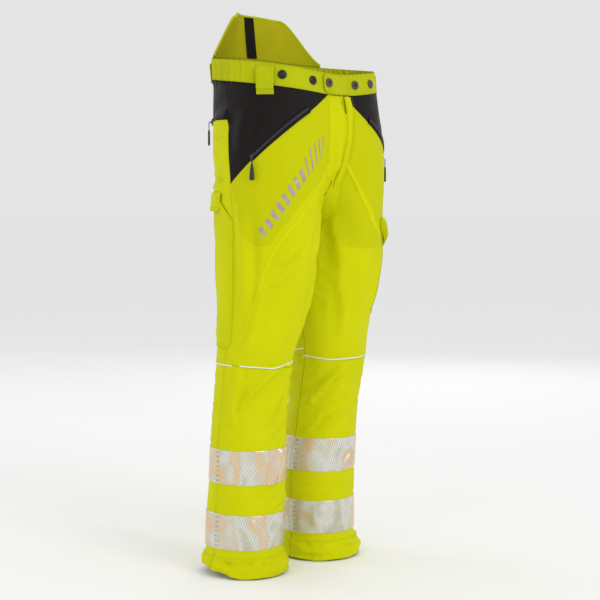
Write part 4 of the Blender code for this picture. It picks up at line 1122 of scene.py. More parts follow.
def spaced(points, normals, pitch):
    """The same path with points a pitch apart, starting half a pitch in."""
    length = run_length(points)
    count = max(int(length[-1] / pitch), 1)
    at = (np.arange(count) + 0.5) * length[-1] / count

    def read(where, values):
        return np.stack([np.interp(where, length, values[:, k]) for k in range(3)], 1)

    along = read(at + 0.0004, points) - read(at - 0.0004, points)
    return read(at, points), unit(along), unit(read(at, normals))


class Thread:
    """Collects rows of stitches and sews them as one piece."""

    def __init__(self, pitch=3.2 * MM, length=2.5 * MM, radius=0.33 * MM):
        self.pitch, self.length, self.radius = pitch, length, radius
        self.rows = []

    def row(self, points, normals):
        self.rows.append(spaced(points, normals, self.pitch))

    def on(self, side, turns, heights, lift=0.30 * MM, at=None):
        turns, heights = np.broadcast_arrays(np.asarray(turns, float), np.asarray(heights, float))
        count = 8 * len(turns) if len(turns) < 12 else len(turns)
        fine = np.linspace(0, len(turns) - 1, count)
        turns = np.interp(fine, np.arange(len(turns)), turns)
        heights = np.interp(fine, np.arange(len(heights)), heights)
        self.row(*path_on(side, turns, heights, lift, at))

    def sew(self, name, finish, body="root"):
        place = np.concatenate([r[0] for r in self.rows])
        along = np.concatenate([r[1] for r in self.rows])
        out = np.concatenate([r[2] for r in self.rows])
        across = np.cross(along, out)
        r, half = self.radius, self.length / 2
        shape = [(-half, 0, -0.6 * r)]
        for y in (-0.62 * half, 0.62 * half):
            shape += [(y, r, 0), (y, 0, r), (y, -r, 0), (y, 0, -r)]
        shape += [(half, 0, -0.6 * r)]
        shape = np.array(shape)
        verts = (place[:, None] + along[:, None] * shape[None, :, :1] + across[:, None] * shape[None, :, 1:2]
                 + out[:, None] * shape[None, :, 2:])
        each = []
        for k in range(4):
            n = (k + 1) % 4
            each += [(0, 1 + k, 1 + n), (1 + k, 5 + k, 5 + n, 1 + n), (9, 5 + n, 5 + k)]
        faces = [tuple(i + 10 * s for i in f) for s in range(len(place)) for f in each]
        return build(name, verts.reshape(-1, 3), faces, finish, body, sharp=0)


def tube_faces(rings, around):
    """Faces of a tube made of rings of points, with both ends closed."""
    faces = [(i * around + j, (i + 1) * around + j, (i + 1) * around + (j + 1) % around,
              i * around + (j + 1) % around) for i in range(rings - 1) for j in range(around)]
    return faces + [tuple(range(around)), tuple((rings - 1) * around + j for j in reversed(range(around)))]


def sweep(points, normals, profile):
    """Sweep a closed profile of (across, out) along a path: vertices, faces and UVs."""
    points, normals = np.asarray(points), np.asarray(normals)
    along = unit(np.gradient(points, axis=0))
    across = unit(np.cross(along, normals))
    out = np.cross(across, along)
    profile = np.asarray(profile, float)
    if profile.ndim == 2:
        profile = np.broadcast_to(profile, (len(points),) + profile.shape)
    verts = points[:, None] + across[:, None] * profile[..., :1] + out[:, None] * profile[..., 1:]
    n, m = verts.shape[:2]
    length, round_it = run_length(points), run_length(profile[n // 2])
    uv = np.stack(np.broadcast_arrays(length[:, None], round_it[None]), -1).reshape(-1, 2)
    return verts.reshape(-1, 3), tube_faces(n, m), uv


def oval(wide, tall, count, power=1.0):
    angle = np.linspace(0, 2 * np.pi, count, endpoint=False)
    c, s = np.cos(angle), np.sin(angle)
    return np.stack([wide * np.sign(c) * np.abs(c) ** power, tall * np.sign(s) * np.abs(s) ** power], 1)


class Heap:
    """Collects meshes that make one piece."""

    def __init__(self):
        self.verts, self.faces, self.uv, self.count = [], [], [], 0

    def add(self, verts, faces, uv=None):
        verts = np.asarray(verts, float).reshape(-1, 3)
        self.faces += [tuple(int(i) + self.count for i in f) for f in faces]
        self.verts.append(verts)
        self.uv.append(plain_uv(verts) if uv is None else np.asarray(uv, float))
        self.count += len(verts)
        return self

    def piece(self, name, finish, body="root", nodes=(), sharp=50, marks=None):
        made = build(name, np.concatenate(self.verts), self.faces, finish, body, nodes,
                     np.concatenate(self.uv), marks, sharp)
        fix_normals(made)
        return made


def frame_at(side, turn, z, offset):
    """Axes on the form: x along the cloth, y up the cloth, z straight out of it."""
    step = 0.002
    around = skin(side, turn + step, z, 0) - skin(side, turn - step, z, 0)
    upward = skin(side, turn, z + step, 0) - skin(side, turn, z - step, 0)
    out = Vector(np.cross(around, upward)).normalized()
    centre = Vector((FORM[0](z) * 0.5 * side, FORM[1](z), z))
    if out.dot(Vector(skin(side, turn, z, 0)) - centre) < 0:
        out = -out
    across = Vector((0, 0, 1)).cross(out).normalized()
    made = Matrix((across, out.cross(across), out)).transposed().to_4x4()
    made.translation = Vector(skin(side, turn, z, offset))
    return made


def placed(made, verts):
    """Vertices of a frame's own space, in the model's."""
    turn = np.array(made.to_3x3())
    return np.asarray(verts, float) @ turn.T + np.array(made.translation)


def lathe(profile, segments=40):
    """A solid turned round z from (radius, height) points; the first and last are on the axis."""
    angle = np.linspace(0, 2 * np.pi, segments, endpoint=False)
    ring = np.stack([np.cos(angle), np.sin(angle)], 1)
    verts = [np.column_stack([ring * r, np.full(segments, h)]) for r, h in profile[1:-1]]
    rings = len(verts)
    faces = [(j * segments + i, j * segments + (i + 1) % segments,
              (j + 1) * segments + (i + 1) % segments, (j + 1) * segments + i)
             for j in range(rings - 1) for i in range(segments)]
    verts = np.concatenate(verts + [np.array([[0, 0, profile[0][1]], [0, 0, profile[-1][1]]])])
    low, high = len(verts) - 2, len(verts) - 1
    faces += [(low, (i + 1) % segments, i) for i in range(segments)]
    top = (rings - 1) * segments
    faces += [(high, top + i, top + (i + 1) % segments) for i in range(segments)]
    return verts, faces


def rounded(points, steps=5):
    """A profile whose corners are cut by curves: quadratic through the middles."""
    pts = np.array(points, float) * MM
    out = [pts[0]]
    for a, b, c in zip(pts[:-2], pts[1:-1], pts[2:]):
        start, end = a + (b - a) * 0.5, b + (c - b) * 0.5
        for t in np.linspace(0, 1, steps):
            out.append((1 - t) ** 2 * start + 2 * t * (1 - t) * b + t * t * end)
    out.append(pts[-1])
    return [tuple(p) for p in out]


# ---------------------------------------------------------------- zips on their arcs
def circle_through(a, b, c):
    ab, ac = b - a, c - a
    axis = ab.cross(ac)
    to_centre = ac.length_squared * axis.cross(ab) + ab.length_squared * ac.cross(axis)
    to_centre = to_centre / (2 * axis.length_squared)
    return a + to_centre, axis.normalized(), to_centre.length


class CurvedZip:
    """The CAD's zip arc; share 0 is its closed end, where the slider rests."""

    def __init__(self, side, points, stand_off):
        self.side, self.points = side, points
        places = []
        for turn, z in points:
            frame = frame_at(side, turn, z, 0)
            places.append(frame.translation + Vector(frame.col[2][:3]) * stand_off)
        self.centre, self.axis, self.radius = circle_through(*places)
        self.start = places[0] - self.centre
        last = (places[2] - self.centre).normalized()
        self.sweep = math.acos(max(-1.0, min(1.0, self.start.normalized().dot(last))))

    def frame(self, share, lift=0.0):
        """x across the teeth, y along the zip, z away from the cloth."""
        spoke = Matrix.Rotation(self.sweep * share, 3, self.axis) @ self.start.normalized()
        along = self.axis.cross(spoke).normalized()
        across = along.cross(spoke).normalized()
        made = Matrix((across, along, spoke)).transposed().to_4x4()
        made.translation = self.centre + spoke * (self.radius + lift)
        return made


# ---------------------------------------------------------------- the shell
HEM_TOP = 0.045
yellow = Thread()


def hem_low(turn, side):
    """The worn lower edge: it lifts towards the outer back and waves a little."""
    lift = {RIGHT: 0.015, LEFT: 0.008}[side] * smooth(0.36, 0.60, turn) * smooth(0.98, 0.80, turn)
    slow = 0.0012 * (1 + math.sin(2 * math.pi * turn * 3 + 2 * side))
    quick = 0.0008 * (1 + math.sin(2 * math.pi * turn * 7))
    return 0.0008 + lift + (slow + quick)


def shell_top(turn, side):
    return min(waist_seam(turn), hip_diagonal(turn, side))


def hem_fold(turns, z, share, up):
    return 0.5 * MM * smooth(HEM_TOP + 0.001, HEM_TOP - 0.001, z)


def thread_beside(side, turns, line, gaps, lift=0.32 * MM):
    """Rows of stitches along a seam line, each a gap above it (below for a negative gap)."""
    turns = np.asarray(turns, float)
    for gap in gaps:
        heights = np.array([line(t, side) for t in turns]) + gap
        yellow.on(side, turns, heights, lift)


def thread_up(side, turn, low, high, gaps, lift=0.32 * MM):
    heights = np.linspace(low, high, 60)
    for gap in gaps:
        yellow.on(side, np.full(60, turn + gap / GIRTH), heights, lift)


TOPSTITCH = (2.1 * MM, 7.4 * MM)         # two rows of stitches above a seam, or beside it
BELOW = tuple(-gap for gap in TOPSTITCH)


def across_back(right, left):
    """Runs of a panel that goes from the wearer's right round the back to the left."""
    return [(RIGHT, right, 1.0), (LEFT, 1.0, left)]


def right_bag(turns, z):
    """Where the right pocket bag doubles the cloth: above the shaped seam, down to a rounded end."""
    seam_turn = np.interp(z, (0.655, 0.706, 0.748, 0.782, 0.818, 0.85),
                          (0.362, 0.312, 0.250, 0.180, 0.080, 0.034))
    lift = 0.05 * np.abs((turns - 0.395) / 0.08) ** 2.6
    bottom = 0.668 + np.where(turns < 0.395, np.minimum(lift, 0.010), lift)
    return smooth(-0.002, 0.004, turns - seam_turn - 0.012) * smooth(-0.001, 0.002, z - bottom)


def left_bag(turns, z):
    bottom = 0.660 + np.minimum(0.04 * np.abs((turns - 0.245) / 0.120) ** 6, 0.05)
    edge = np.interp(z, (0.66, 0.70, 0.74, 0.80, 0.86), (0.130, 0.110, 0.080, 0.038, 0.016))
    return smooth(-0.001, 0.002, z - bottom) * smooth(-0.003, 0.003, turns - edge)


POCKET_BAG = {RIGHT: right_bag, LEFT: left_bag}

for word, side in SIDES.items():
    front = [(side, TURN_SEAM, HIP_SIDE - TURN_SEAM)]
    rear = [(side, HIP_SIDE + TURN_SEAM, 1 - TURN_SEAM)]
    panel(f"{word}_front_thigh_cloth", front, shifted(knee_seam, SEAM), shifted(shell_top, -SEAM),
          kinds=("under", "over", "over", "over"), nodes=[f"{word}_front_thigh_panel"],
          doubled=POCKET_BAG[side])
    panel(f"{word}_back_thigh_cloth", rear, shifted(knee_seam, SEAM), level(YOKE_LOW - SEAM),
          kinds=("under", "over", "over", "over"), nodes=[f"{word}_back_thigh_panel"])
    panel(f"{word}_front_shin_cloth", front, hem_low, shifted(knee_seam, -SEAM), extra=hem_fold,
          kinds=("under", "over", "plain", "under"), nodes=[f"{word}_front_shin_panel"])
    panel(f"{word}_back_calf_cloth", rear, hem_low, shifted(knee_seam, -SEAM), extra=hem_fold,
          kinds=("under", "over", "plain", "under"), nodes=[f"{word}_back_calf_panel"])
    tip = HIP_TOP[side][0] - 0.009
    panel(f"{word}_hip_cloth", [(side, tip, HIP_SIDE - TURN_SEAM)], lambda t, s: shell_top(t, s) + SEAM,
          shifted(waist_seam, -SEAM), "stretch_fabric", kinds=("plain", "single", "under", "under"),
          nodes=[f"{word}_hip_panel"])

    turns = np.linspace(0.004, HIP_SIDE - 0.02, 90)
    thread_beside(side, turns, knee_seam, TOPSTITCH)
    turns = np.linspace(HIP_SIDE + 0.004, 0.98, 90)
    thread_beside(side, turns, knee_seam, TOPSTITCH)
    thread_beside(side, turns, level(YOKE_LOW), BELOW)
    turns = np.linspace(HIP_TOP[side][0] + 0.006, HIP_SIDE - 0.008, 90)
    thread_beside(side, turns, hip_diagonal, [-g * 1.12 for g in TOPSTITCH])
    thread_up(side, HIP_SIDE, 0.052, KNEE - 0.004, BELOW)
    thread_up(side, HIP_SIDE, KNEE + 0.010, HIP_TIP[1] - 0.004, BELOW)
    thread_up(side, 1.0, 0.052, KNEE - 0.002, BELOW)
    thread_up(side, 1.0, KNEE + 0.008, CROTCH - 0.010, BELOW)
    for gap in (0.0395, 0.0425):
        yellow.on(side, np.linspace(0, 0.999, 160), gap + 0.0004 * np.sin(np.arange(160) * 0.4), 0.75 * MM)

panel("back_yoke_cloth", across_back(HIP_SIDE + TURN_SEAM, HIP_SIDE + TURN_SEAM),
      level(YOKE_LOW + SEAM), shifted(waist_seam, -SEAM), "stretch_fabric",
      kinds=("under", "under", "under", "under"), nodes=["back_yoke"])
thread_up(RIGHT, 1.0, CROTCH + 0.03, YOKE_LOW - 0.010, BELOW)

# ---------------------------------------------------------------- shaped seams over the thighs
def seam_strip(name, side, path, wide, ridges):
    """A flat-felled seam: a narrow strip of doubled cloth with raised stitching ridges."""
    curve = smooth_path(path, 150)
    ahead = np.gradient(curve, axis=0)
    ahead /= np.linalg.norm(ahead, axis=1, keepdims=True)
    out = np.stack([-ahead[:, 1], ahead[:, 0]], 1)
    across = np.linspace(-0.5, 0.5, 15) * wide
    place = curve[None] + out[None] * across[:, None, None]
    taper = smooth(0, 0.12, np.linspace(0, 1, len(curve))) * smooth(1, 0.85, np.linspace(0, 1, len(curve)))
    edge = 1 - np.exp(-((0.5 * wide - np.abs(across)) / (0.7 * MM)) ** 2)
    humps = sum(np.exp(-((across - at) / (1.3 * MM)) ** 2) for at in ridges)
    height = (0.25 * MM + (0.50 * edge + 0.55 * humps)[:, None] * taper[None] * MM)
    turns, z = place[..., 0] / GIRTH, place[..., 1]
    outer = cloth(side, turns, z, height)
    inner = cloth(side, turns, z, np.full(z.shape, 0.1 * MM))
    count, rows = z.shape
    uv = np.stack([np.broadcast_to(across[:, None], z.shape), z], -1).reshape(-1, 2)
    made = build(name, np.concatenate([outer.reshape(-1, 3), inner.reshape(-1, 3)]), shell_faces(count, rows),
                 "seam_fabric", uv=np.tile(uv, (2, 1)))
    fix_normals(made)
    width, length, area = flat_size(stiff(side, turns, z, np.full(z.shape, 0.001)))


RIGHT_SHAPED = ((.028, .832), (.080, .818), (.170, .780), (.240, .744), (.302, .702), (.354, .652),
                (.386, .590), (.421, .525), (.452, .470))
LEFT_SHAPED = ((.062, .832), (.100, .807), (.180, .757), (.236, .722), (.286, .686))
seam_strip("right_shaped_seam", RIGHT, RIGHT_SHAPED, 7.2 * MM, (-2.0 * MM, 2.0 * MM))
seam_strip("left_shaped_seam", LEFT, LEFT_SHAPED, 7.6 * MM, (-2.2 * MM, 2.2 * MM))

# ---------------------------------------------------------------- tapes and piping
for word, side in SIDES.items():
    for place, (low, high) in BAND_HEIGHTS.items():
        drift = 0.7 if place == "upper" else 2.1
        edge_low = lambda t, s, low=low, k=drift: low + 0.0006 * math.sin(6 * math.pi * t + k * s)
        edge_high = lambda t, s, high=high, k=drift: high + 0.0006 * math.sin(4 * math.pi * t + k + s)
        panel(f"{word}_{place}_tape", [(side, 0, 1)], edge_low, edge_high, "reflective_tape",
              outer=1.15 * MM, inner=0.55 * MM, ring=True, nodes=[f"{word}_{place}_reflective_band"],
              roll=0.45 * MM)

# the sewn-in edge of the piping, under its bead
FLANGE = np.array(((-1.5, -0.9), (1.5, -0.9), (1.3, -0.3), (-1.3, -0.3))) * MM
PIPING = {
    RIGHT: (((0.128, 0.436), (0.30, 0.4275), (0.432, 0.4325)),
            ((0.470, 0.4315), (0.60, 0.4335), (0.93, 0.434))),
    LEFT: (((-0.012, 0.4345), (0.14, 0.4285), (0.436, 0.4325)),
           ((0.560, 0.4345), (0.80, 0.4345), (0.930, 0.436)),
           ((0.948, 0.4455), (0.975, 0.4470), (0.996, 0.4490))),
}
for word, side in SIDES.items():
    heap = Heap()
    for run in PIPING[side]:
        turns = np.linspace(run[0][0], run[-1][0], max(12, int(abs(run[-1][0] - run[0][0]) * 220)))
        heights = np.interp(turns, [p[0] for p in run], [p[1] for p in run])
        heights = heights + 0.0005 * np.sin(turns * 40)
        points, out = path_on(side, turns, heights, 1.0 * MM)
        share = (turns - turns[0]) / (turns[-1] - turns[0])
        grow = smooth(0, 0.03, share) * smooth(1, 0.97, share)
        profile = np.array([oval(1.0 * MM * (0.4 + 0.6 * g), 1.0 * MM * (0.4 + 0.6 * g), 12) for g in grow])
        heap.add(*sweep(points, out, profile))
        heap.add(*sweep(points, out, FLANGE))
    heap.piece(f"{word}_knee_piping_bead", "piping", nodes=[f"{word}_knee_piping"])

# the tapes' overlapping ends are sewn through in long stitches
tape_thread = Thread(pitch=9.2 * MM, length=5.4 * MM, radius=0.75 * MM)
for side, turn, slope in ((RIGHT, 0.503, 0.05), (LEFT, 0.022, -0.03)):
    for low, high in BAND_HEIGHTS.values():
        heights = np.linspace(low + 0.002, high - 0.001, 40)
        for gap in (-0.0028, 0.0028):
            tape_thread.on(side, turn + gap / GIRTH + slope * (heights - 0.22), heights, 1.0 * MM)
tape_thread.sew("tape_end_stitches", "thread_grey")

# ---------------------------------------------------------------- padding and lining
CHANNEL = 0.055             # spacing of the pad's sewn channels


def pad_crown(turns, z, share, up):
    edge = np.minimum(np.minimum(share, 1 - share) * 0.26, np.minimum(up, 1 - up) * 0.6)
    full = smooth(0.0, 0.012, edge)
    sewn = np.abs(((z - 0.052) / CHANNEL) % 1 - 0.5) * 2
    return full * (0.35 + 0.65 * smooth(1.0, 0.86, sewn))


for word, side in SIDES.items():
    made = panel(f"{word}_quilted_pad", [(side, 0.03, 0.53)], level(0.052), level(0.66), "pad_fibre",
                 outer=-5.0 * MM, inner=-5.6 * MM, kinds=("plain",) * 4, nodes=[f"{word}_cut_protection_pad"],
                 extra=lambda t, z, a, b: 1.5 * MM * pad_crown(t, z, a, b),
                 inner_extra=lambda t, z, a, b: -1.4 * MM * pad_crown(t, z, a, b), step=5 * MM, declare=False,
                 roll=0.2 * MM)
    panel(f"{word}_mesh_lining", [(side, 0.004, 0.996)], level(0.052), level(0.955), "lining_mesh",
          outer=-8.8 * MM, inner=-9.6 * MM, step=7 * MM, nodes=[f"{word}_leg_lining"], roll=0.2 * MM)

# ---------------------------------------------------------------- waistband
BAND = (-1.4 * MM, 1.2 * MM)
BAND_FRONT_END = 0.366
BACK_BAND_START = 0.66
band_low, band_high = shifted(waist_seam, SEAM), shifted(band_top, -SEAM)
for word, side in SIDES.items():
    panel(f"{word}_front_waistband_cloth", [(side, 0.003, BAND_FRONT_END - TURN_SEAM)], band_low, band_high,
          "band_fabric", outer=BAND[1], inner=BAND[0], kinds=("plain", "plain", "single", "single"),
          nodes=[f"{word}_front_waistband"])
    panel(f"{word}_elastic_waist_cloth", [(side, BAND_FRONT_END + TURN_SEAM, BACK_BAND_START - TURN_SEAM)],
          band_low, band_high, "elastic_fabric", outer=BAND[1], inner=BAND[0], step=2.2 * MM,
          kinds=("plain", "plain", "single", "single"), nodes=[f"{word}_elastic_waist"])
    for start, end, points in ((0.006, BAND_FRONT_END - 0.004, 90), (BAND_FRONT_END + 0.004, 0.656, 220)):
        turns = np.linspace(start, end, points)
        for line, gap in ((waist_seam, 3.0 * MM), (band_top, -3.0 * MM)):
            thread_beside(side, turns, line, [gap], BAND[1] + 0.30 * MM)
    # the elastic is quilted in rows
    turns = np.linspace(0.415, 0.645, 220)
    for share in (0.34, 0.66):
        thread_beside(side, turns, waist_seam, [BAND_HEIGHT * share], BAND[1] + 0.12 * MM)
panel("back_waistband_cloth", across_back(BACK_BAND_START + TURN_SEAM, BACK_BAND_START + TURN_SEAM),
      band_low, band_high, "band_fabric", outer=BAND[1], inner=BAND[0],
      kinds=("plain", "plain", "single", "single"), nodes=["back_waistband"])
for side in (RIGHT, LEFT):
    turns = np.linspace(0.664, 0.998, 90)
    thread_beside(side, turns, waist_seam, [3.0 * MM], BAND[1] + 0.30 * MM)
    thread_beside(side, turns, band_top, [-3.0 * MM], BAND[1] + 0.30 * MM)

TAB = (3.0 * MM, 4.6 * MM)
TAB_ROOT, TAB_END, TAB_ROUND, TAB_MIDDLE = 0.060, 0.112, 0.013, 0.986
TAB_STITCHED = TAB_END - 0.0062
tab_tip = float(skin(RIGHT, TAB_END, TAB_MIDDLE, TAB[1])[0])


def tab_tuck(turn, side):
    reach = float(skin(side, turn, TAB_MIDDLE, TAB[1])[0]) - tab_tip if side == RIGHT else 1.0
    past = min(max(TAB_ROUND - reach, 0.0), TAB_ROUND * 0.985)
    return TAB_ROUND - math.sqrt(TAB_ROUND ** 2 - past ** 2)


def tab_low(turn, side):
    return waist_seam(turn) + 1.5 * MM + tab_tuck(turn, side)


def tab_high(turn, side):
    return band_top(turn) - 1.0 * MM - tab_tuck(turn, side)


panel("waist_tab_cloth", [(LEFT, TAB_ROOT, 0.0), (RIGHT, 0.0, TAB_END)], tab_low, tab_high, "band_fabric",
      outer=TAB[1], inner=TAB[0], where=stiff, kinds=("plain", "single", "single", "single"),
      body="waist_tab", nodes=["waist_tab"],
      step=2.4 * MM, roll=0.6 * MM)
tab_thread = Thread()
for line, sign in ((tab_low, 1), (tab_high, -1)):
    for side, start, end in ((LEFT, TAB_ROOT - 0.004, 0.0), (RIGHT, 0.0, TAB_STITCHED)):
        turns = np.linspace(start, end, 40)
        heights = np.array([line(t, side) for t in turns]) + sign * 3.0 * MM
        tab_thread.on(side, turns, heights, TAB[1] + 0.28 * MM, form_at)
ends = np.linspace(tab_low(TAB_STITCHED, RIGHT) + 3 * MM, tab_high(TAB_STITCHED, RIGHT) - 3 * MM, 12)
tab_thread.on(RIGHT, np.full(12, TAB_STITCHED), ends, TAB[1] + 0.28 * MM, form_at)
tab_thread.sew("waist_tab_stitches", "thread_yellow", "waist_tab")


# ---------------------------------------------------------------- high back
def back_calm(turns, z, share, up):
    """The high back leans and dips a little between its seams."""
    middle = np.sin(np.pi * np.clip(share, 0, 1))
    lean = 1.6 * np.sin(2 * np.pi * share * 1.5 + 0.6) + 0.8 * np.sin(2 * np.pi * share * 4 + 1.0)
    return MM * up ** 1.5 * lean * middle


def curl_on(side, turns, heights):
    """The curl of the right corner; the left side of the high back has none."""
    return curl(turns, heights) if side == RIGHT else np.zeros_like(turns)


def back_form(turns, z, share, up):
    """back_calm with the right corner, in the first half of the columns, curled in."""
    return back_calm(turns, z, share, up) - np.where(share < 0.5, curl(turns, z), 0)


panel("high_back_cloth", across_back(BACK_FOOT + 0.02, LEFT_BACK_FOOT + 0.02), shifted(band_top, -1.2 * MM),
      back_top, "band_fabric", inner=-1.2 * MM,
      kinds=("plain", "plain", "over", "plain"), extra=back_form, nodes=["high_back_panel"])
panel("high_back_inner_cloth", across_back(BACK_FOOT + 0.025, LEFT_BACK_FOOT + 0.025),
      shifted(band_top, 1.0 * MM), shifted(back_top, -1.2 * MM), "inner_fabric", outer=-1.9 * MM,
      inner=-2.7 * MM, extra=back_form, nodes=["high_back_lining"],
      roll=0.3 * MM)


def strap_ridges(turns, z, share, up):
    return (back_calm(turns, z, 0.5, up) - curl(turns, z)
            - 0.35 * MM * (1 - smooth(0.0, 0.06, np.minimum(share, 1 - share))))


panel("back_stay_webbing", across_back(0.952, 0.985), shifted(band_top, 2 * MM),
      shifted(back_top, -2.5 * MM), "webbing", outer=-3.8 * MM, inner=-5.4 * MM, extra=strap_ridges,
      nodes=["back_stay_strap"], step=2 * MM,
      roll=0.3 * MM)

# the bound rim of the high back
BACK_FEET = {RIGHT: BACK_FOOT, LEFT: LEFT_BACK_FOOT}
rim = []
for side in (RIGHT, LEFT):
    turns = np.linspace(BACK_FEET[side] + 0.022, 1.0, 110)
    heights = np.array([back_top(t, side) for t in turns])
    share = (turns - turns[0]) / (1 - turns[0]) * 0.5
    share = share if side == RIGHT else 1 - share
    lift = back_calm(None, None, share, 1.0) - 1.2 * MM - curl_on(side, turns, heights)
    points, out = path_on(side, turns, heights, lift[:, None])
    rim.append((points, out) if side == RIGHT else (points[::-1][1:], out[::-1][1:]))
rim_points, rim_out = (np.concatenate([r[k] for r in rim]) for k in (0, 1))
rim_heap = Heap()
rim_heap.add(*sweep(rim_points, rim_out, oval(2.9 * MM, 2.0 * MM, 14, power=0.8)))
rim_heap.piece("high_back_binding", "binding")
rim_thread = Thread()
for gap in (0.0021, -0.0021):
    for side in (RIGHT, LEFT):
        turns = np.linspace(BACK_FEET[side] + 0.03, 0.998, 90)
        heights = np.array([back_top(t, side) for t in turns]) - 0.0014
        share = (turns - turns[0]) / (1 - turns[0]) * 0.5
        lift = back_calm(None, None, share if side == RIGHT else 1 - share, 1.0) - 1.2 * MM + gap
        lift = lift - curl_on(side, turns, heights)
        points, out = path_on(side, turns, heights, lift[:, None])
        rim_thread.row(points, out * np.sign(gap))
rim_thread.sew("high_back_binding_stitches", "thread_yellow")
for side in (RIGHT, LEFT):
    turns = np.linspace(BACK_FOOT + 0.05, 0.998, 90)
    for gap in (0.0024, 0.0078):
        heights = band_top(turns) + gap
        lift = 0.4 * MM - curl_on(side, turns, heights)
        yellow.row(*path_on(side, turns, heights, lift[:, None]))

# ---------------------------------------------------------------- press buttons
BUTTON_BASE = BAND[1] + 0.4 * MM
BUTTONS = (
    ("right_side_brace_button", RIGHT, 0.307, 1.000, BUTTON_BASE, False, "root"),
    ("right_front_brace_button", RIGHT, 0.175, 0.991, BUTTON_BASE, False, "root"),
    ("left_front_brace_button", LEFT, 0.110, 0.987, BUTTON_BASE, True, "root"),
    ("left_side_brace_button", LEFT, 0.223, 0.992, BUTTON_BASE, True, "root"),
    ("closure_snap_cap", RIGHT, 0.080, 0.988, TAB[1] + 0.4 * MM, True, "waist_tab"),
    ("right_back_brace_button", RIGHT, 0.915, 1.108, 0.7 * MM, False, "root"),
    ("left_back_brace_button", LEFT, 0.915, 1.108, 0.7 * MM, False, "root"),
)
BUTTON_RADIUS = 8.9 * MM
# half outlines in millimetres: radius and height
DOME = ((0, 0), (7.0, 0), (8.8, 0.2), (8.9, 1.5), (7.6, 2.6), (6.6, 2.9), (5.4, 3.5), (3.0, 3.75), (1.2, 3.6),
        (0, 3.5))
DISH = ((0, 0), (6.6, 0), (7.3, 0.4), (7.2, 2.0), (6.2, 2.3), (5.0, 1.9), (3.4, 1.7), (2.6, 2.1), (1.0, 2.3),
        (0, 2.2))
RING = ((0, 0.1), (7.3, 0.1), (8.8, 0.3), (9.0, 1.6), (8.3, 2.9), (7.2, 3.2), (6.7, 2.4), (0, 2.0))


def turned_edge(verts, radius):
    return smooth(0.55, 0.95, np.hypot(verts[:, 0], verts[:, 1]) / radius)


def back_frame(side, turn, z, base):
    """A frame on the outer face of the high back, where its right corner curls."""
    def at(t, h):
        share = (t - 0.665) / 0.67
        lift = back_calm(None, None, share if side == RIGHT else 1 - share, (h - band_top(t)) / BACK_RISE)
        return Vector(cloth(side, t, h, lift - curl_on(side, t, h)))

    up = (at(turn, z + 0.004) - at(turn, z - 0.004)).normalized()
    out = (at(turn + 0.008, z) - at(turn - 0.008, z)).cross(up).normalized()
    if out.dot(Vector(frame_at(side, turn, z, 0).col[2][:3])) < 0:
        out = -out
    made = Matrix((up.cross(out), up, out)).transposed().to_4x4()
    made.translation = at(turn, z) + out * base
    return made


for name, side, turn, z, base, ringed, body in BUTTONS:
    frame_here = back_frame(side, turn, z, base) if base < BAND[1] else frame_at(side, turn, z, base)
    verts, faces = lathe(rounded(DISH if ringed else DOME))
    piece_name = "closure_snap_button" if name.endswith("cap") else f"{name}_cap"
    made = build(piece_name, placed(frame_here, verts), faces, "snap_metal", body, [name],
                 marks={"edge": turned_edge(verts, BUTTON_RADIUS)}, sharp=45)
    fix_normals(made)
    if ringed:
        verts, faces = lathe(rounded(RING))
        keep = [f for f in faces if len(f) == 4]
        ring_made = build(name.replace("_cap", "") + "_ring", placed(frame_here, verts), keep, "snap_ring",
                          body, sharp=45)
        thick = ring_made.modifiers.new("thick", "SOLIDIFY")
        thick.thickness = 0.25 * MM
        thick.offset = -1
STUD = (0.080, 0.988)
verts, faces = lathe(rounded(((0, 0), (4.4, 0), (4.5, 0.5), (3.2, 0.6), (3.0, 1.0), (2.4, 1.05), (0, 0.9))))
stud_frame = frame_at(RIGHT, *STUD, BAND[1] + 0.3 * MM)
made = build("closure_snap_post", placed(stud_frame, verts), faces, "snap_ring", "root",
             ["closure_snap_stud"], sharp=45)
fix_normals(made)

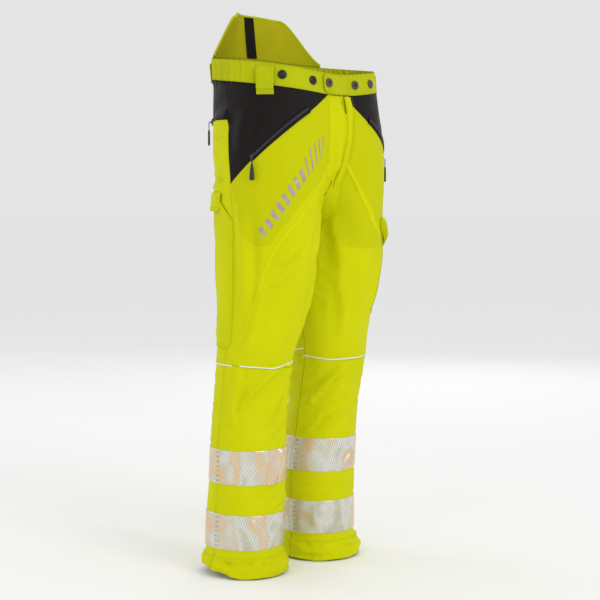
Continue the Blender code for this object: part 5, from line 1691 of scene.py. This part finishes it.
# ---------------------------------------------------------------- belt loops
LOOP_WIDTH, LOOP_DROP, LOOP_CLEAR, LOOP_THICK = 0.034, 0.060, 6.6 * MM, 1.5 * MM
LOOP_STITCHED = LOOP_WIDTH / 2 - 0.0035
LOOPS = {"right_front_belt_loop": (RIGHT, 0.366), "left_front_belt_loop": (LEFT, 0.430),
         "right_back_belt_loop": (RIGHT, 0.745), "left_back_belt_loop": (LEFT, 0.745)}
loop_thread = Thread(pitch=2.8 * MM, length=2.2 * MM)
for name, (side, turn) in LOOPS.items():
    frame_here = frame_at(side, turn, waist_seam(turn) + BAND_HEIGHT / 2, BAND[1] + 0.4 * MM)
    top = BAND_HEIGHT / 2 - 1.0 * MM
    bottom = top - LOOP_DROP
    y = np.concatenate([np.linspace(top, top - 0.016, 16), np.linspace(top - 0.019, bottom + 0.019, 10),
                        np.linspace(bottom + 0.016, bottom, 16)])
    from_end = np.minimum(top - y, y - bottom)
    lift = LOOP_CLEAR * smooth(0.0045, 0.0125, from_end)
    x = np.linspace(-LOOP_WIDTH / 2, LOOP_WIDTH / 2, 25)
    hem = 0.35 * MM * smooth(LOOP_WIDTH / 2 - 0.0060, LOOP_WIDTH / 2 - 0.0050, np.abs(x))
    # the stitch lines: a shallow groove in the shape and painted shade in the colour
    seam = np.exp(-((np.abs(x) - LOOP_STITCHED) / 0.0007) ** 2)
    turned_in = -0.5 * MM * smooth(LOOP_WIDTH / 2 - 0.0012, LOOP_WIDTH / 2, np.abs(x))
    wave = 0.25 * MM * np.sin(y * 260)[None] * np.cos(x * 90)[:, None]
    across, along = np.meshgrid(x, y, indexing="ij")
    outer = lift[None] + LOOP_THICK + (hem - 0.25 * MM * seam + turned_in)[:, None] + wave
    inner = np.broadcast_to(lift[None] + 0.1 * MM, across.shape)
    verts = np.concatenate([np.stack([across, along, h], -1).reshape(-1, 3) for h in (outer, inner)])
    uv = np.stack([across, along], -1).reshape(-1, 2)
    made = build(f"{name}_cloth", placed(frame_here, verts), shell_faces(len(x), len(y)), "band_fabric",
                 "root", [name], np.tile(uv, (2, 1)), {"seam": np.tile(np.repeat(seam, len(y)), 2)})
    fix_normals(made)
    up = np.array(frame_here.to_3x3().col[2])
    for offset in (-LOOP_STITCHED, LOOP_STITCHED):
        line = np.stack([np.full(len(y), offset), y, lift + LOOP_THICK + 0.22 * MM], 1)
        loop_thread.row(placed(frame_here, line), np.tile(up, (len(y), 1)))
    inside = x[2:-2]
    for level_at in (top - 0.0016, top - 0.0030, bottom + 0.0016, bottom + 0.0030):
        line = np.stack([inside, np.full(len(inside), level_at),
                         np.full(len(inside), LOOP_THICK + 0.3 * MM)], 1)
        loop_thread.row(placed(frame_here, line), np.tile(up, (len(inside), 1)))
loop_thread.sew("belt_loop_stitches", "thread_yellow")

# ---------------------------------------------------------------- zips
FRONT_ZIP = {RIGHT: ((0.425, 0.8395), (0.320, 0.893), (0.210, 0.935)),
             LEFT: ((0.400, 0.8395), (0.300, 0.880), (0.190, 0.919))}
BACK_ZIP = ((0.658, 0.914), (0.765, 0.914), (0.872, 0.914))
FLY_ZIP = ((0.0, 0.951), (0.0, 0.892), (0.0, 0.834))
ZIP_THICK = 1.3 * MM
SLIDER_REST = 0.045
SLIDER = (7.5 * MM, 11.0 * MM, 3.0 * MM)
FLY_SLIDER = (7.0 * MM, 10.0 * MM, 2.0 * MM)
PULL_LENGTH = 0.047
CORD_RADIUS = 0.78 * MM
GRIP = (10.2 * MM, 4.6 * MM, 31.0 * MM)
TRACKS = {
    "right_front_pocket": CurvedZip(RIGHT, FRONT_ZIP[RIGHT], 2.2 * MM),
    "left_front_pocket": CurvedZip(LEFT, FRONT_ZIP[LEFT], 2.2 * MM),
    "back_pocket": CurvedZip(RIGHT, BACK_ZIP, 2.2 * MM),
    "fly": CurvedZip(RIGHT, FLY_ZIP, 1.6 * MM),
}
TOOTH = 1.7 * MM


def teeth(track):
    """Two interlocking rows of moulded teeth, rounded towards the middle."""
    heap = Heap()
    count = int(track.radius * track.sweep / TOOTH)
    for i in range(count):
        for way in (-1, 1):
            here = track.frame((i + (0.25 if way > 0 else 0.75)) / count)
            half = 0.42 * TOOTH
            outline = ((-1.9, -half), (0.3, -half * 0.8), (0.62, 0), (0.3, half * 0.8), (-1.9, half))
            shape = [(way * x * MM, y, h) for h in (-0.6 * MM, 0.6 * MM) for x, y in outline]
            n = len(outline)
            faces = [tuple(range(n))[::-1], tuple(range(n, 2 * n))]
            faces += [(k, (k + 1) % n, n + (k + 1) % n, n + k) for k in range(n)]
            heap.add(placed(here, np.array(shape)), faces)
    return heap


# outline of a lip in millimetres: away from the zip's middle and out of the cloth
LIP = ((2.7, -1.3), (2.5, -0.1), (2.9, 0.55), (3.8, 0.75), (5.4, 0.45), (7.2, -0.6), (8.2, -2.4), (7.4, -3.6),
       (4.5, -3.2))


def zip_lips(track, shares, finish, name):
    """Two folded lips of cloth that the zip lies between."""
    heap = Heap()
    for way in (-1, 1):
        rows = []
        for s in shares:
            here = track.frame(s)
            across = Vector(here.col[0][:3])
            out = Vector(here.col[2][:3])
            rows.append([here.translation + across * (way * x * MM) + out * (h * MM) for x, h in LIP])
        rows = np.array(rows)
        n, m = rows.shape[:2]
        length = np.linspace(0, track.radius * track.sweep, n)
        uv = np.stack(np.broadcast_arrays(length[:, None], np.linspace(0, 0.012, m)[None]), -1)
        heap.add(rows, tube_faces(n, m), uv.reshape(-1, 2))
    heap.piece(name, finish)


def slider_body(frame_here, size):
    """A moulded slider: waisted plates, a rounded nose and a bridge for the pull."""
    width, length, height = size
    heap = Heap()
    ys = np.linspace(-0.5, 0.5, 13)
    wide = 0.5 * width * np.interp(ys, (-0.5, -0.42, -0.2, 0.1, 0.4, 0.5),
                                   (0.55, 0.80, 0.78, 0.95, 1.0, 0.72))
    tall = 0.5 * height * np.interp(ys, (-0.5, -0.4, 0.4, 0.5), (0.55, 0.9, 1.0, 0.6))
    rows = []
    for y, w, t in zip(ys, wide, tall):
        ring = oval(w, t * 0.72, 16, power=0.55)
        rows.append(np.column_stack([ring[:, 0], np.full(16, -y * length), ring[:, 1] - 0.28 * t]))
    heap.add(placed(frame_here, np.concatenate(rows)), tube_faces(len(rows), 16))
    arch = ((-0.34, 0.1), (-0.30, 0.40), (-0.1, 0.62), (0.12, 0.60), (0.28, 0.38), (0.32, 0.1))
    bridge = placed(frame_here, [(0, y * length, h * height) for y, h in arch])
    across = np.tile(np.array(frame_here.to_3x3().col[0]), (len(arch), 1))
    heap.add(*sweep(bridge, across, oval(0.35 * MM, 1.1 * MM, 8)))
    return heap


def hanging_pull(track, slider_lift):
    """A looped cord and a ribbed, moulded grip that hangs straight down."""
    lift = slider_lift + SLIDER[2] / 2 + 0.3 * MM + GRIP[1] / 2
    place = track.frame(SLIDER_REST, lift).translation
    out = (place - Vector((track.centre.x, track.centre.y, place.z))).normalized()
    down = Vector((0, 0, -1))
    here = Matrix((down.cross(out).normalized(), down, out)).transposed().to_4x4()
    here.translation = place
    loop = Heap()
    start = PULL_LENGTH - GRIP[2] + 2 * MM
    swing = np.pi * np.linspace(0, 1, 30)
    spread = 1.25 * MM
    points = np.concatenate([
        np.column_stack([np.full(10, -spread), np.linspace(start, 1.2 * MM, 10), np.zeros(10)]),
        np.column_stack([-spread * np.cos(swing), 0.6 * MM - 1.4 * MM * np.sin(swing), np.full(30, 0.0)]),
        np.column_stack([np.full(10, spread), np.linspace(1.2 * MM, start, 10), np.zeros(10)])])
    points[:, 0] *= 1 - 0.35 * np.sin(np.pi * np.clip(points[:, 1] / start, 0, 1))
    world = placed(here, points)
    loop.add(*sweep(world, np.tile(np.array(out), (len(world), 1)), oval(CORD_RADIUS, CORD_RADIUS, 10)))
    grip = Heap()
    ys = np.linspace(0, 1, 40)
    wide = GRIP[0] / 2 * np.interp(ys, (0, 0.05, 0.2, 0.55, 0.85, 0.96, 1),
                                   (0.34, 0.46, 0.58, 0.82, 1.0, 0.86, 0.45))
    thick = GRIP[1] / 2 * np.interp(ys, (0, 0.06, 0.3, 0.85, 0.96, 1), (0.6, 0.85, 0.95, 1.0, 0.8, 0.4))
    ribbed = smooth(0.28, 0.34, ys) * smooth(0.92, 0.86, ys)
    rib = 1 - 0.10 * (0.5 + 0.5 * np.cos(2 * np.pi * ys * 9)) * ribbed
    rows = []
    for y, w, h, r in zip(ys, wide, thick, rib):
        ring = oval(w, h * r, 20, power=0.62)
        down_to = PULL_LENGTH - GRIP[2] + y * GRIP[2]
        rows.append(np.column_stack([ring[:, 0], np.full(20, down_to), ring[:, 1]]))
    grip.add(placed(here, np.concatenate(rows)), tube_faces(len(rows), 20))
    return loop, grip


for word, track in TRACKS.items():
    teeth(track).piece(f"{word}_zip_teeth", "zip_plastic", nodes=[f"{word}_zip_chain"])
    shares = np.linspace(-0.01, 1.01, 60)
    tape = Heap()
    places = [track.frame(s, -0.75 * MM) for s in shares]
    points = np.array([p.translation for p in places])
    spokes = np.array([Vector(p.col[2][:3]) for p in places])
    tape.add(*sweep(points, spokes, oval(4.6 * MM if word != "fly" else 3.4 * MM, 0.35 * MM, 12, power=0.5)))
    tape.piece(f"{word}_zip_tape", "zip_tape")
    if word != "fly":
        zip_lips(track, shares, "stretch_fabric", f"{word}_zip_lips")
    size = FLY_SLIDER if word == "fly" else SLIDER
    lift = ZIP_THICK / 2 + 0.3 * MM + size[2] / 2
    slider_body(track.frame(SLIDER_REST, lift), size).piece(f"{word}_zip_slider_body", "zip_plastic",
                                                           f"{word}_zip_slider", [f"{word}_zip_slider"])
    if word != "fly":
        cord_loop, grip = hanging_pull(track, lift)
        cord_loop.piece(f"{word}_pull_cord", "pull_cord", f"{word}_zip_pull")
        grip.piece(f"{word}_pull_grip", "grip_rubber", f"{word}_zip_pull", [f"{word}_zip_pull"])

# the fly's flat pull tab
track = TRACKS["fly"]
lift = ZIP_THICK / 2 + 0.3 * MM + FLY_SLIDER[2]
here = track.frame(SLIDER_REST, lift + 0.8 * MM)
ys = np.linspace(-1.5, 18.5, 24) * MM
half = 2.0 * MM * np.interp(ys / MM, (-1.5, -0.8, 3, 16, 18.5), (0.6, 0.95, 0.8, 1.0, 0.6))
tab_rows = []
for y, w in zip(ys, half):
    thick = 0.45 * MM * (1 + 0.25 * math.cos(y * 3500) * float(smooth(0.006, 0.008, y)))
    ring = oval(w, thick, 12, power=0.5)
    tab_rows.append(np.column_stack([ring[:, 0], np.full(12, y), ring[:, 1]]))
tab = Heap().add(placed(here, np.concatenate(tab_rows)), tube_faces(len(tab_rows), 12))
tab.piece("fly_zip_pull_tab", "zip_plastic", "fly_zip_pull", ["fly_zip_pull"])

# ---------------------------------------------------------------- fly placket
# height, turn of the welt's free edge, turn of its sewn edge
FLY_WELT = np.array(((0.786, 0.010, 0.036), (0.800, 0.011, 0.046), (0.822, 0.020, 0.058),
                     (0.858, 0.037, 0.076), (0.888, 0.045, 0.083), (0.936, 0.037, 0.083),
                     (0.9625, 0.026, 0.070)))
welt_free = monotone_curve(FLY_WELT[:, 0], FLY_WELT[:, 1])
welt_sewn = monotone_curve(FLY_WELT[:, 0], FLY_WELT[:, 2])
heights = np.linspace(FLY_WELT[0, 0], FLY_WELT[-1, 0], 70)
share = np.concatenate([[0.0], np.linspace(0.02, 0.98, 30), [1.0]])
ends = smooth(0, 0.16, (heights - heights[0]) / (heights[-1] - heights[0]))
rolled = np.sin(np.pi * np.clip(0.14 + share / 0.78 * 0.86, 0, 1)) ** 0.75 * (share < 0.78)
roll_height = np.maximum(8.6 * rolled, 1.9 * (share > 0.6) + 0.9)
ripple = 0.30 * np.sin(heights * 240)[None] * np.sin(np.pi * share)[:, None]
outer_lift = (roll_height[:, None] * (0.40 + 0.60 * ends)[None] + ripple) * MM
turn = welt_free(heights)[None] * (1 - share[:, None]) + welt_sewn(heights)[None] * share[:, None]
tall = np.broadcast_to(heights[None], turn.shape)
outer_face = cloth(LEFT, turn, tall, outer_lift)
inner_lift = np.minimum(outer_lift - 0.25 * MM, np.maximum(outer_lift - 1.4 * MM, 0.2 * MM))
inner_face = cloth(LEFT, turn, tall, inner_lift)
verts = np.concatenate([outer_face.reshape(-1, 3), inner_face.reshape(-1, 3)])
uv = np.stack([turn * GIRTH, tall], -1).reshape(-1, 2)
# painted shade along the welt's free and sewn edges and along a line down its roll
seam_shade = sum(np.exp(-((share - at) / 0.05) ** 2) for at in (0.56, 0.0, 1.0))
seam_shade = np.repeat(np.clip(seam_shade, 0, 1), len(heights))
made = build("fly_placket", verts, shell_faces(len(share), len(heights)), "shell_fabric", "root",
             ["fly_cover"], np.tile(uv, (2, 1)), {"seam": np.tile(seam_shade, 2)})
fix_normals(made)
for gap in (0.006, 0.016):
    yellow.on(LEFT, welt_sewn(heights) + gap, heights, 0.3 * MM)

# the right front laps over the zip and tucks in behind the welt; the slider runs beneath it
LAP_START = -0.070


def across_fly(u, z, off):
    """Cloth on the wearer's right where u is below 0, on the left where it is above."""
    right, left = (cloth(side, np.abs(u), z, off) for side in (RIGHT, LEFT))
    return np.where((u < 0)[..., None], right, left)


def lap_top(u):
    return np.interp(u, (-0.010, 0.013, 0.050), (0.9622, 0.9345, 0.927))


def welt_edge(z):
    """Turn of the welt's free edge, held still past its ends."""
    return welt_free(np.clip(z, 0.787, 0.962))


def lap_height(u, z):
    free = welt_edge(z)
    rise = smooth(-0.062, -0.010, u) * smooth(0.798, 0.828, z)
    fall = smooth(free + 0.008, np.minimum(free - 0.012, 0.011), u)
    tucked = 4.0 * smooth(0.0, 0.02, u)
    crumple = 0.35 * np.sin(z * 190 + u * 40) * smooth(-0.05, -0.01, u)
    return (0.25 + rise * np.maximum((8.0 + crumple) * fall, tucked)) * MM


columns = np.linspace(0, 1, 46)
rows = np.concatenate([np.linspace(0, 0.97, 60), [0.985, 0.995, 1.0]])
low_end = 0.797
u = np.broadcast_to((LAP_START + (0.050 - LAP_START) * columns)[:, None], (len(columns), len(rows)))
tall = low_end + (lap_top(u) - low_end) * rows[None]
u = np.minimum(u, LAP_START + (welt_edge(tall) + 0.007 - LAP_START) * columns[:, None])
lift = lap_height(u, tall) - 0.5 * MM * (rows[None] > 0.999)
outer_face = across_fly(u, tall, lift)
inner_face = across_fly(u, tall, np.maximum(lift - 1.0 * MM, 0.1 * MM))
uv = np.stack([u * GIRTH, tall], -1).reshape(-1, 2)
# painted shade along the lap's top edge, where it tucks in
edge_shade = np.exp(-((1 - rows[None]) * 0.14 / 0.0016) ** 2) * np.ones_like(tall)
made = build("fly_overlap", np.concatenate([outer_face.reshape(-1, 3), inner_face.reshape(-1, 3)]),
             shell_faces(len(columns), len(rows)), "shell_fabric", uv=np.tile(uv, (2, 1)),
             marks={"seam": np.tile(edge_shade.ravel(), 2)})
fix_normals(made)
width, length, area = flat_size(across_fly(u, tall, np.full(u.shape, 0.001)))

# ---------------------------------------------------------------- thigh pockets
THIGH_POCKETS = {
    "right": {"turns": (0.507, 0.660), "low": 0.465, "high": 0.760, "flap": (0.572, 0.690, 0.024)},
    "left": {"turns": (0.325, 0.600), "low": 0.520, "high": 0.705, "flap": (0.288, 0.625, 0.045)},
}
FLAP_GAP, FLAP_RISE, POCKET_OUT = 1.6 * MM, 0.016, 4.4 * MM
CORNER = 0.016
CUT_CORNER = (0.716, 0.60)
FLAP_BOW = 3.2 * MM         # how far the right flap's lower edge stands out in its middle


def pocket_slant(turns, z):
    """The right pocket's front edge runs forward as it goes down."""
    return turns - 0.020 * smooth(0.73, 0.47, z) * smooth(0.660, 0.507, turns)


def round_corner(turn, start, end, radius):
    d = min(turn - start, end - turn) * GIRTH
    return radius - math.sqrt(max(radius ** 2 - max(radius - d, 0.0) ** 2, 0.0))


for word, side in SIDES.items():
    spec = THIGH_POCKETS[word]
    start, end = spec["turns"]
    warp = pocket_slant if word == "right" else None

    def pocket_low(turn, s, start=start, end=end, low=spec["low"]):
        return low + round_corner(turn, start, end, CORNER)

    def bellows(turns, z, share, up):
        edge = np.minimum(np.minimum(share, 1 - share) * 0.12, np.minimum(up, 1 - up * 0.6) * 0.24)
        puff = 0.6 * np.sin(share * 7 + up * 4) + 0.5 * np.sin(up * 11 + share * 3)
        return (1.9 + 0.35 * puff) * MM * smooth(0.006, 0.030, edge)

    def pocket_high(turn, s, start=start, high=spec["high"], cut=word == "right"):
        return min(high, CUT_CORNER[0] + CUT_CORNER[1] * (turn - start)) if cut else high

    panel(f"{word}_thigh_pocket_cloth", [(side, start, end)], pocket_low, pocket_high,
          outer=1.5 * MM, inner=0.25 * MM, kinds=("over", "over", "over", "single"), extra=bellows,
          inner_extra=lambda t, z, a, b: 0.85 * bellows(t, z, a, b), nodes=[f"{word}_thigh_pocket"],
          warp=warp)
    for gap in TOPSTITCH:
        for edge_turn, way in ((start, 1), (end, -1)):
            heights = np.linspace(spec["low"] + CORNER, pocket_high(edge_turn, side) - 0.002, 70)
            turns = np.full(70, edge_turn + way * gap / GIRTH)
            yellow.on(side, warp(turns, heights) if warp else turns, heights, 2.2 * MM)
        turns = np.linspace(start + 0.012, end - 0.012, 60)
        low_line = np.array([pocket_low(t, side) for t in turns]) + gap
        yellow.on(side, warp(turns, low_line) if warp else turns, low_line, 2.2 * MM)
        if word == "right":
            turns = np.linspace(start + 0.006, start + 0.078, 30)
            high_line = np.array([pocket_high(t, side) for t in turns]) - gap
            yellow.on(side, warp(turns, high_line), high_line, 2.2 * MM)

    first, last, drop = spec["flap"]
    top = spec["high"] + FLAP_RISE
    base = POCKET_OUT + FLAP_GAP

    def flap_low(turn, s, first=first, last=last, drop=drop, top=top, word=word):
        lift = 0.036 * max(0.0, 1 - (turn - first) / (0.3 * (last - first))) if word == "left" else 0.0
        return top - drop - FLAP_RISE + lift + round_corner(turn, first, last, 0.008)

    def flap_stand(turns, z, share, up, word=word):
        if word == "left":
            corner = 7.0 * MM * np.clip(1 - share / 0.35, 0, 1) ** 1.3 * (1 - up)
        else:
            corner = FLAP_BOW * np.sin(np.pi * share) * (1 - up) + 0.5 * MM * np.sin(share * 26) * (1 - up)
            corner = corner - 3.4 * MM * smooth(0.30, 0.0, share)
        bow = 0.9 * MM * np.sin(np.pi * share) * (1 - up) + 0.5 * MM * np.sin(share * 9 + 1) * (1 - up)
        sewn = -3.8 * MM * smooth(0.80, 0.99, up)
        return corner + bow + sewn

    def flap_back(turns, z, share, up, stand=flap_stand, word=word):
        """The front edge is turned under: its inner face runs back to the cloth below."""
        under = smooth(0.30, 0.02, share) if word == "left" else 0.0
        return stand(turns, z, share, up) * (1 - under) - (base - 0.8 * MM) * under

    body = f"{word}_thigh_pocket_flap"
    panel(f"{word}_flap_cloth", [(side, first, last)], flap_low, level(top), outer=base + 1.6 * MM,
          inner=base + 0.1 * MM, kinds=("single",) * 4, extra=flap_stand, inner_extra=flap_back,
          body=body, nodes=[body])
    flap_thread = Thread()
    for gap in (0.0029, 0.0078):
        turns = np.linspace(first + gap / GIRTH, last - gap / GIRTH, 80)
        low_line = np.array([flap_low(t, side) for t in turns]) + gap
        shares = (turns - first) / (last - first)
        span = top - np.array([flap_low(t, side) for t in turns])
        lift = base + 1.85 * MM + flap_stand(turns, low_line, shares, (low_line - (top - span)) / span)
        flap_thread.row(*path_on(side, turns, low_line, lift[:, None]))
        for edge_turn, way in ((first, 1), (last, -1)):
            at = edge_turn + way * gap / GIRTH
            low_end = flap_low(at, side) + gap
            heights = np.linspace(low_end, top - 0.010, 24)
            up = (heights - low_end + gap) / (top - low_end + gap)
            lift = base + 1.85 * MM + flap_stand(at, heights, (at - first) / (last - first), up)
            flap_thread.row(*path_on(side, np.full(24, at), heights, lift[:, None]))
    flap_thread.sew(f"{word}_flap_stitches", "thread_yellow", body)

# ---------------------------------------------------------------- generic print on the right thigh
PRINT_PATH = smooth_path(((0.395, 0.690), (0.330, 0.742), (0.262, 0.796), (0.190, 0.838), (0.105, 0.876)),
                         200)
print_heap = Heap()
print_length = run_length(PRINT_PATH)


def print_patch(along_low, along_high, across_low, across_high, slant, count=10):
    """A thin printed quadrilateral that follows the cloth, placed along the print's path."""
    s, h = np.meshgrid(np.linspace(0, 1, 6), np.linspace(0, 1, count), indexing="ij")
    across = across_low + (across_high - across_low) * h
    along = along_low + (along_high - along_low) * s + slant * across
    x = np.interp(along, print_length, PRINT_PATH[:, 0])
    z = np.interp(along, print_length, PRINT_PATH[:, 1])
    ahead_x, ahead_z = (np.interp(along + 1e-3, print_length, PRINT_PATH[:, k])
                        - np.interp(along - 1e-3, print_length, PRINT_PATH[:, k]) for k in (0, 1))
    size = np.hypot(ahead_x, ahead_z)
    # the normal of the path that points up and outward on the leg
    nx, nz = ahead_z / size, -ahead_x / size
    turn, tall = (x + nx * across) / GIRTH, z + nz * across
    face = cloth(RIGHT, turn, tall, 0.42 * MM)
    back = cloth(RIGHT, turn, tall, 0.12 * MM)
    n, m = s.shape
    print_heap.add(np.concatenate([face.reshape(-1, 3), back.reshape(-1, 3)]), shell_faces(n, m),
                   np.tile(np.stack([along, across], -1).reshape(-1, 2), (2, 1)))


total = print_length[-1]
for i in range(8):                          # blocks that grow a little up the leg
    start = total * (0.02 + 0.077 * i)
    tall = (8.0 + 0.45 * i) * MM
    print_patch(start, start + 9.0 * MM, -tall, tall, 0.50)
for i in range(5):                          # longer, thinner strokes above them
    start = total * (0.645 + 0.072 * i)
    tall = (21.0 - 4.0 * abs(i - 1.5)) * MM
    print_patch(start, start + 4.4 * MM, -tall + 3 * MM, tall + 3 * MM, 0.62, 14)
print_heap.piece("thigh_print", "print")

yellow.sew("shell_topstitching", "thread_yellow")

# ---------------------------------------------------------------- camera, floor and light
scene = bpy.context.scene
camera = bpy.data.objects.new("camera", bpy.data.cameras.new("camera"))
scene.collection.objects.link(camera)
scene.camera = camera
camera.data.lens = 87.84
camera.data.sensor_width = 36.0
camera.data.clip_start, camera.data.clip_end = 0.1, 100.0
camera.location = (-2.1213, -2.1373, 0.78)
aim = Vector((0.0, -0.016, 0.5527)) - camera.location
camera.rotation_mode = "QUATERNION"
camera.rotation_quaternion = aim.to_track_quat("-Z", "Y")

floor_mesh = bpy.data.meshes.new("floor")
angles = np.linspace(0, 2 * np.pi, 96, endpoint=False)
rim_places = [(40 * math.cos(a), 40 * math.sin(a), -0.0006) for a in angles]
floor_mesh.from_pydata(rim_places, [], [tuple(range(96))])
floor = bpy.data.objects.new("floor", floor_mesh)
scene.collection.objects.link(floor)
floor_paint = Shader("floor_paper", (0.985, 0.985, 0.985), 0.9, Specular_IOR_Level=0.0)
floor_paint.speckle(floor_paint.space, 3.0, (0.98, 0.98, 0.98), (0.99, 0.99, 0.99))
floor_mesh.materials.append(floor_paint.made)

world = bpy.data.worlds.new("studio")
scene.world = world
world.use_nodes = True
world.node_tree.nodes["Background"].inputs[0].default_value = (1.0, 1.0, 1.0, 1)
world.node_tree.nodes["Background"].inputs[1].default_value = 0.78


def softbox(name, place, size, power, colour=(1, 1, 1)):
    light = bpy.data.lights.new(name, "AREA")
    light.shape = "RECTANGLE"
    light.size, light.size_y = size
    light.energy = power
    light.color = colour
    made = bpy.data.objects.new(name, light)
    made.location = place
    made.rotation_mode = "QUATERNION"
    made.rotation_quaternion = (Vector((0, 0, 0.55)) - Vector(place)).to_track_quat("-Z", "Y")
    scene.collection.objects.link(made)


softbox("front_box", (-0.2, -3.5, 2.4), (1.5, 1.5), 32)
softbox("side_box", (-3.6, -0.6, 1.6), (1.2, 2.0), 7)
softbox("rim_box", (2.8, 1.8, 1.8), (1.2, 1.8), 9)
softbox("back_box", (-1.2, 3.4, 1.8), (1.6, 1.8), 13)
scene.view_settings.view_transform = "Standard"
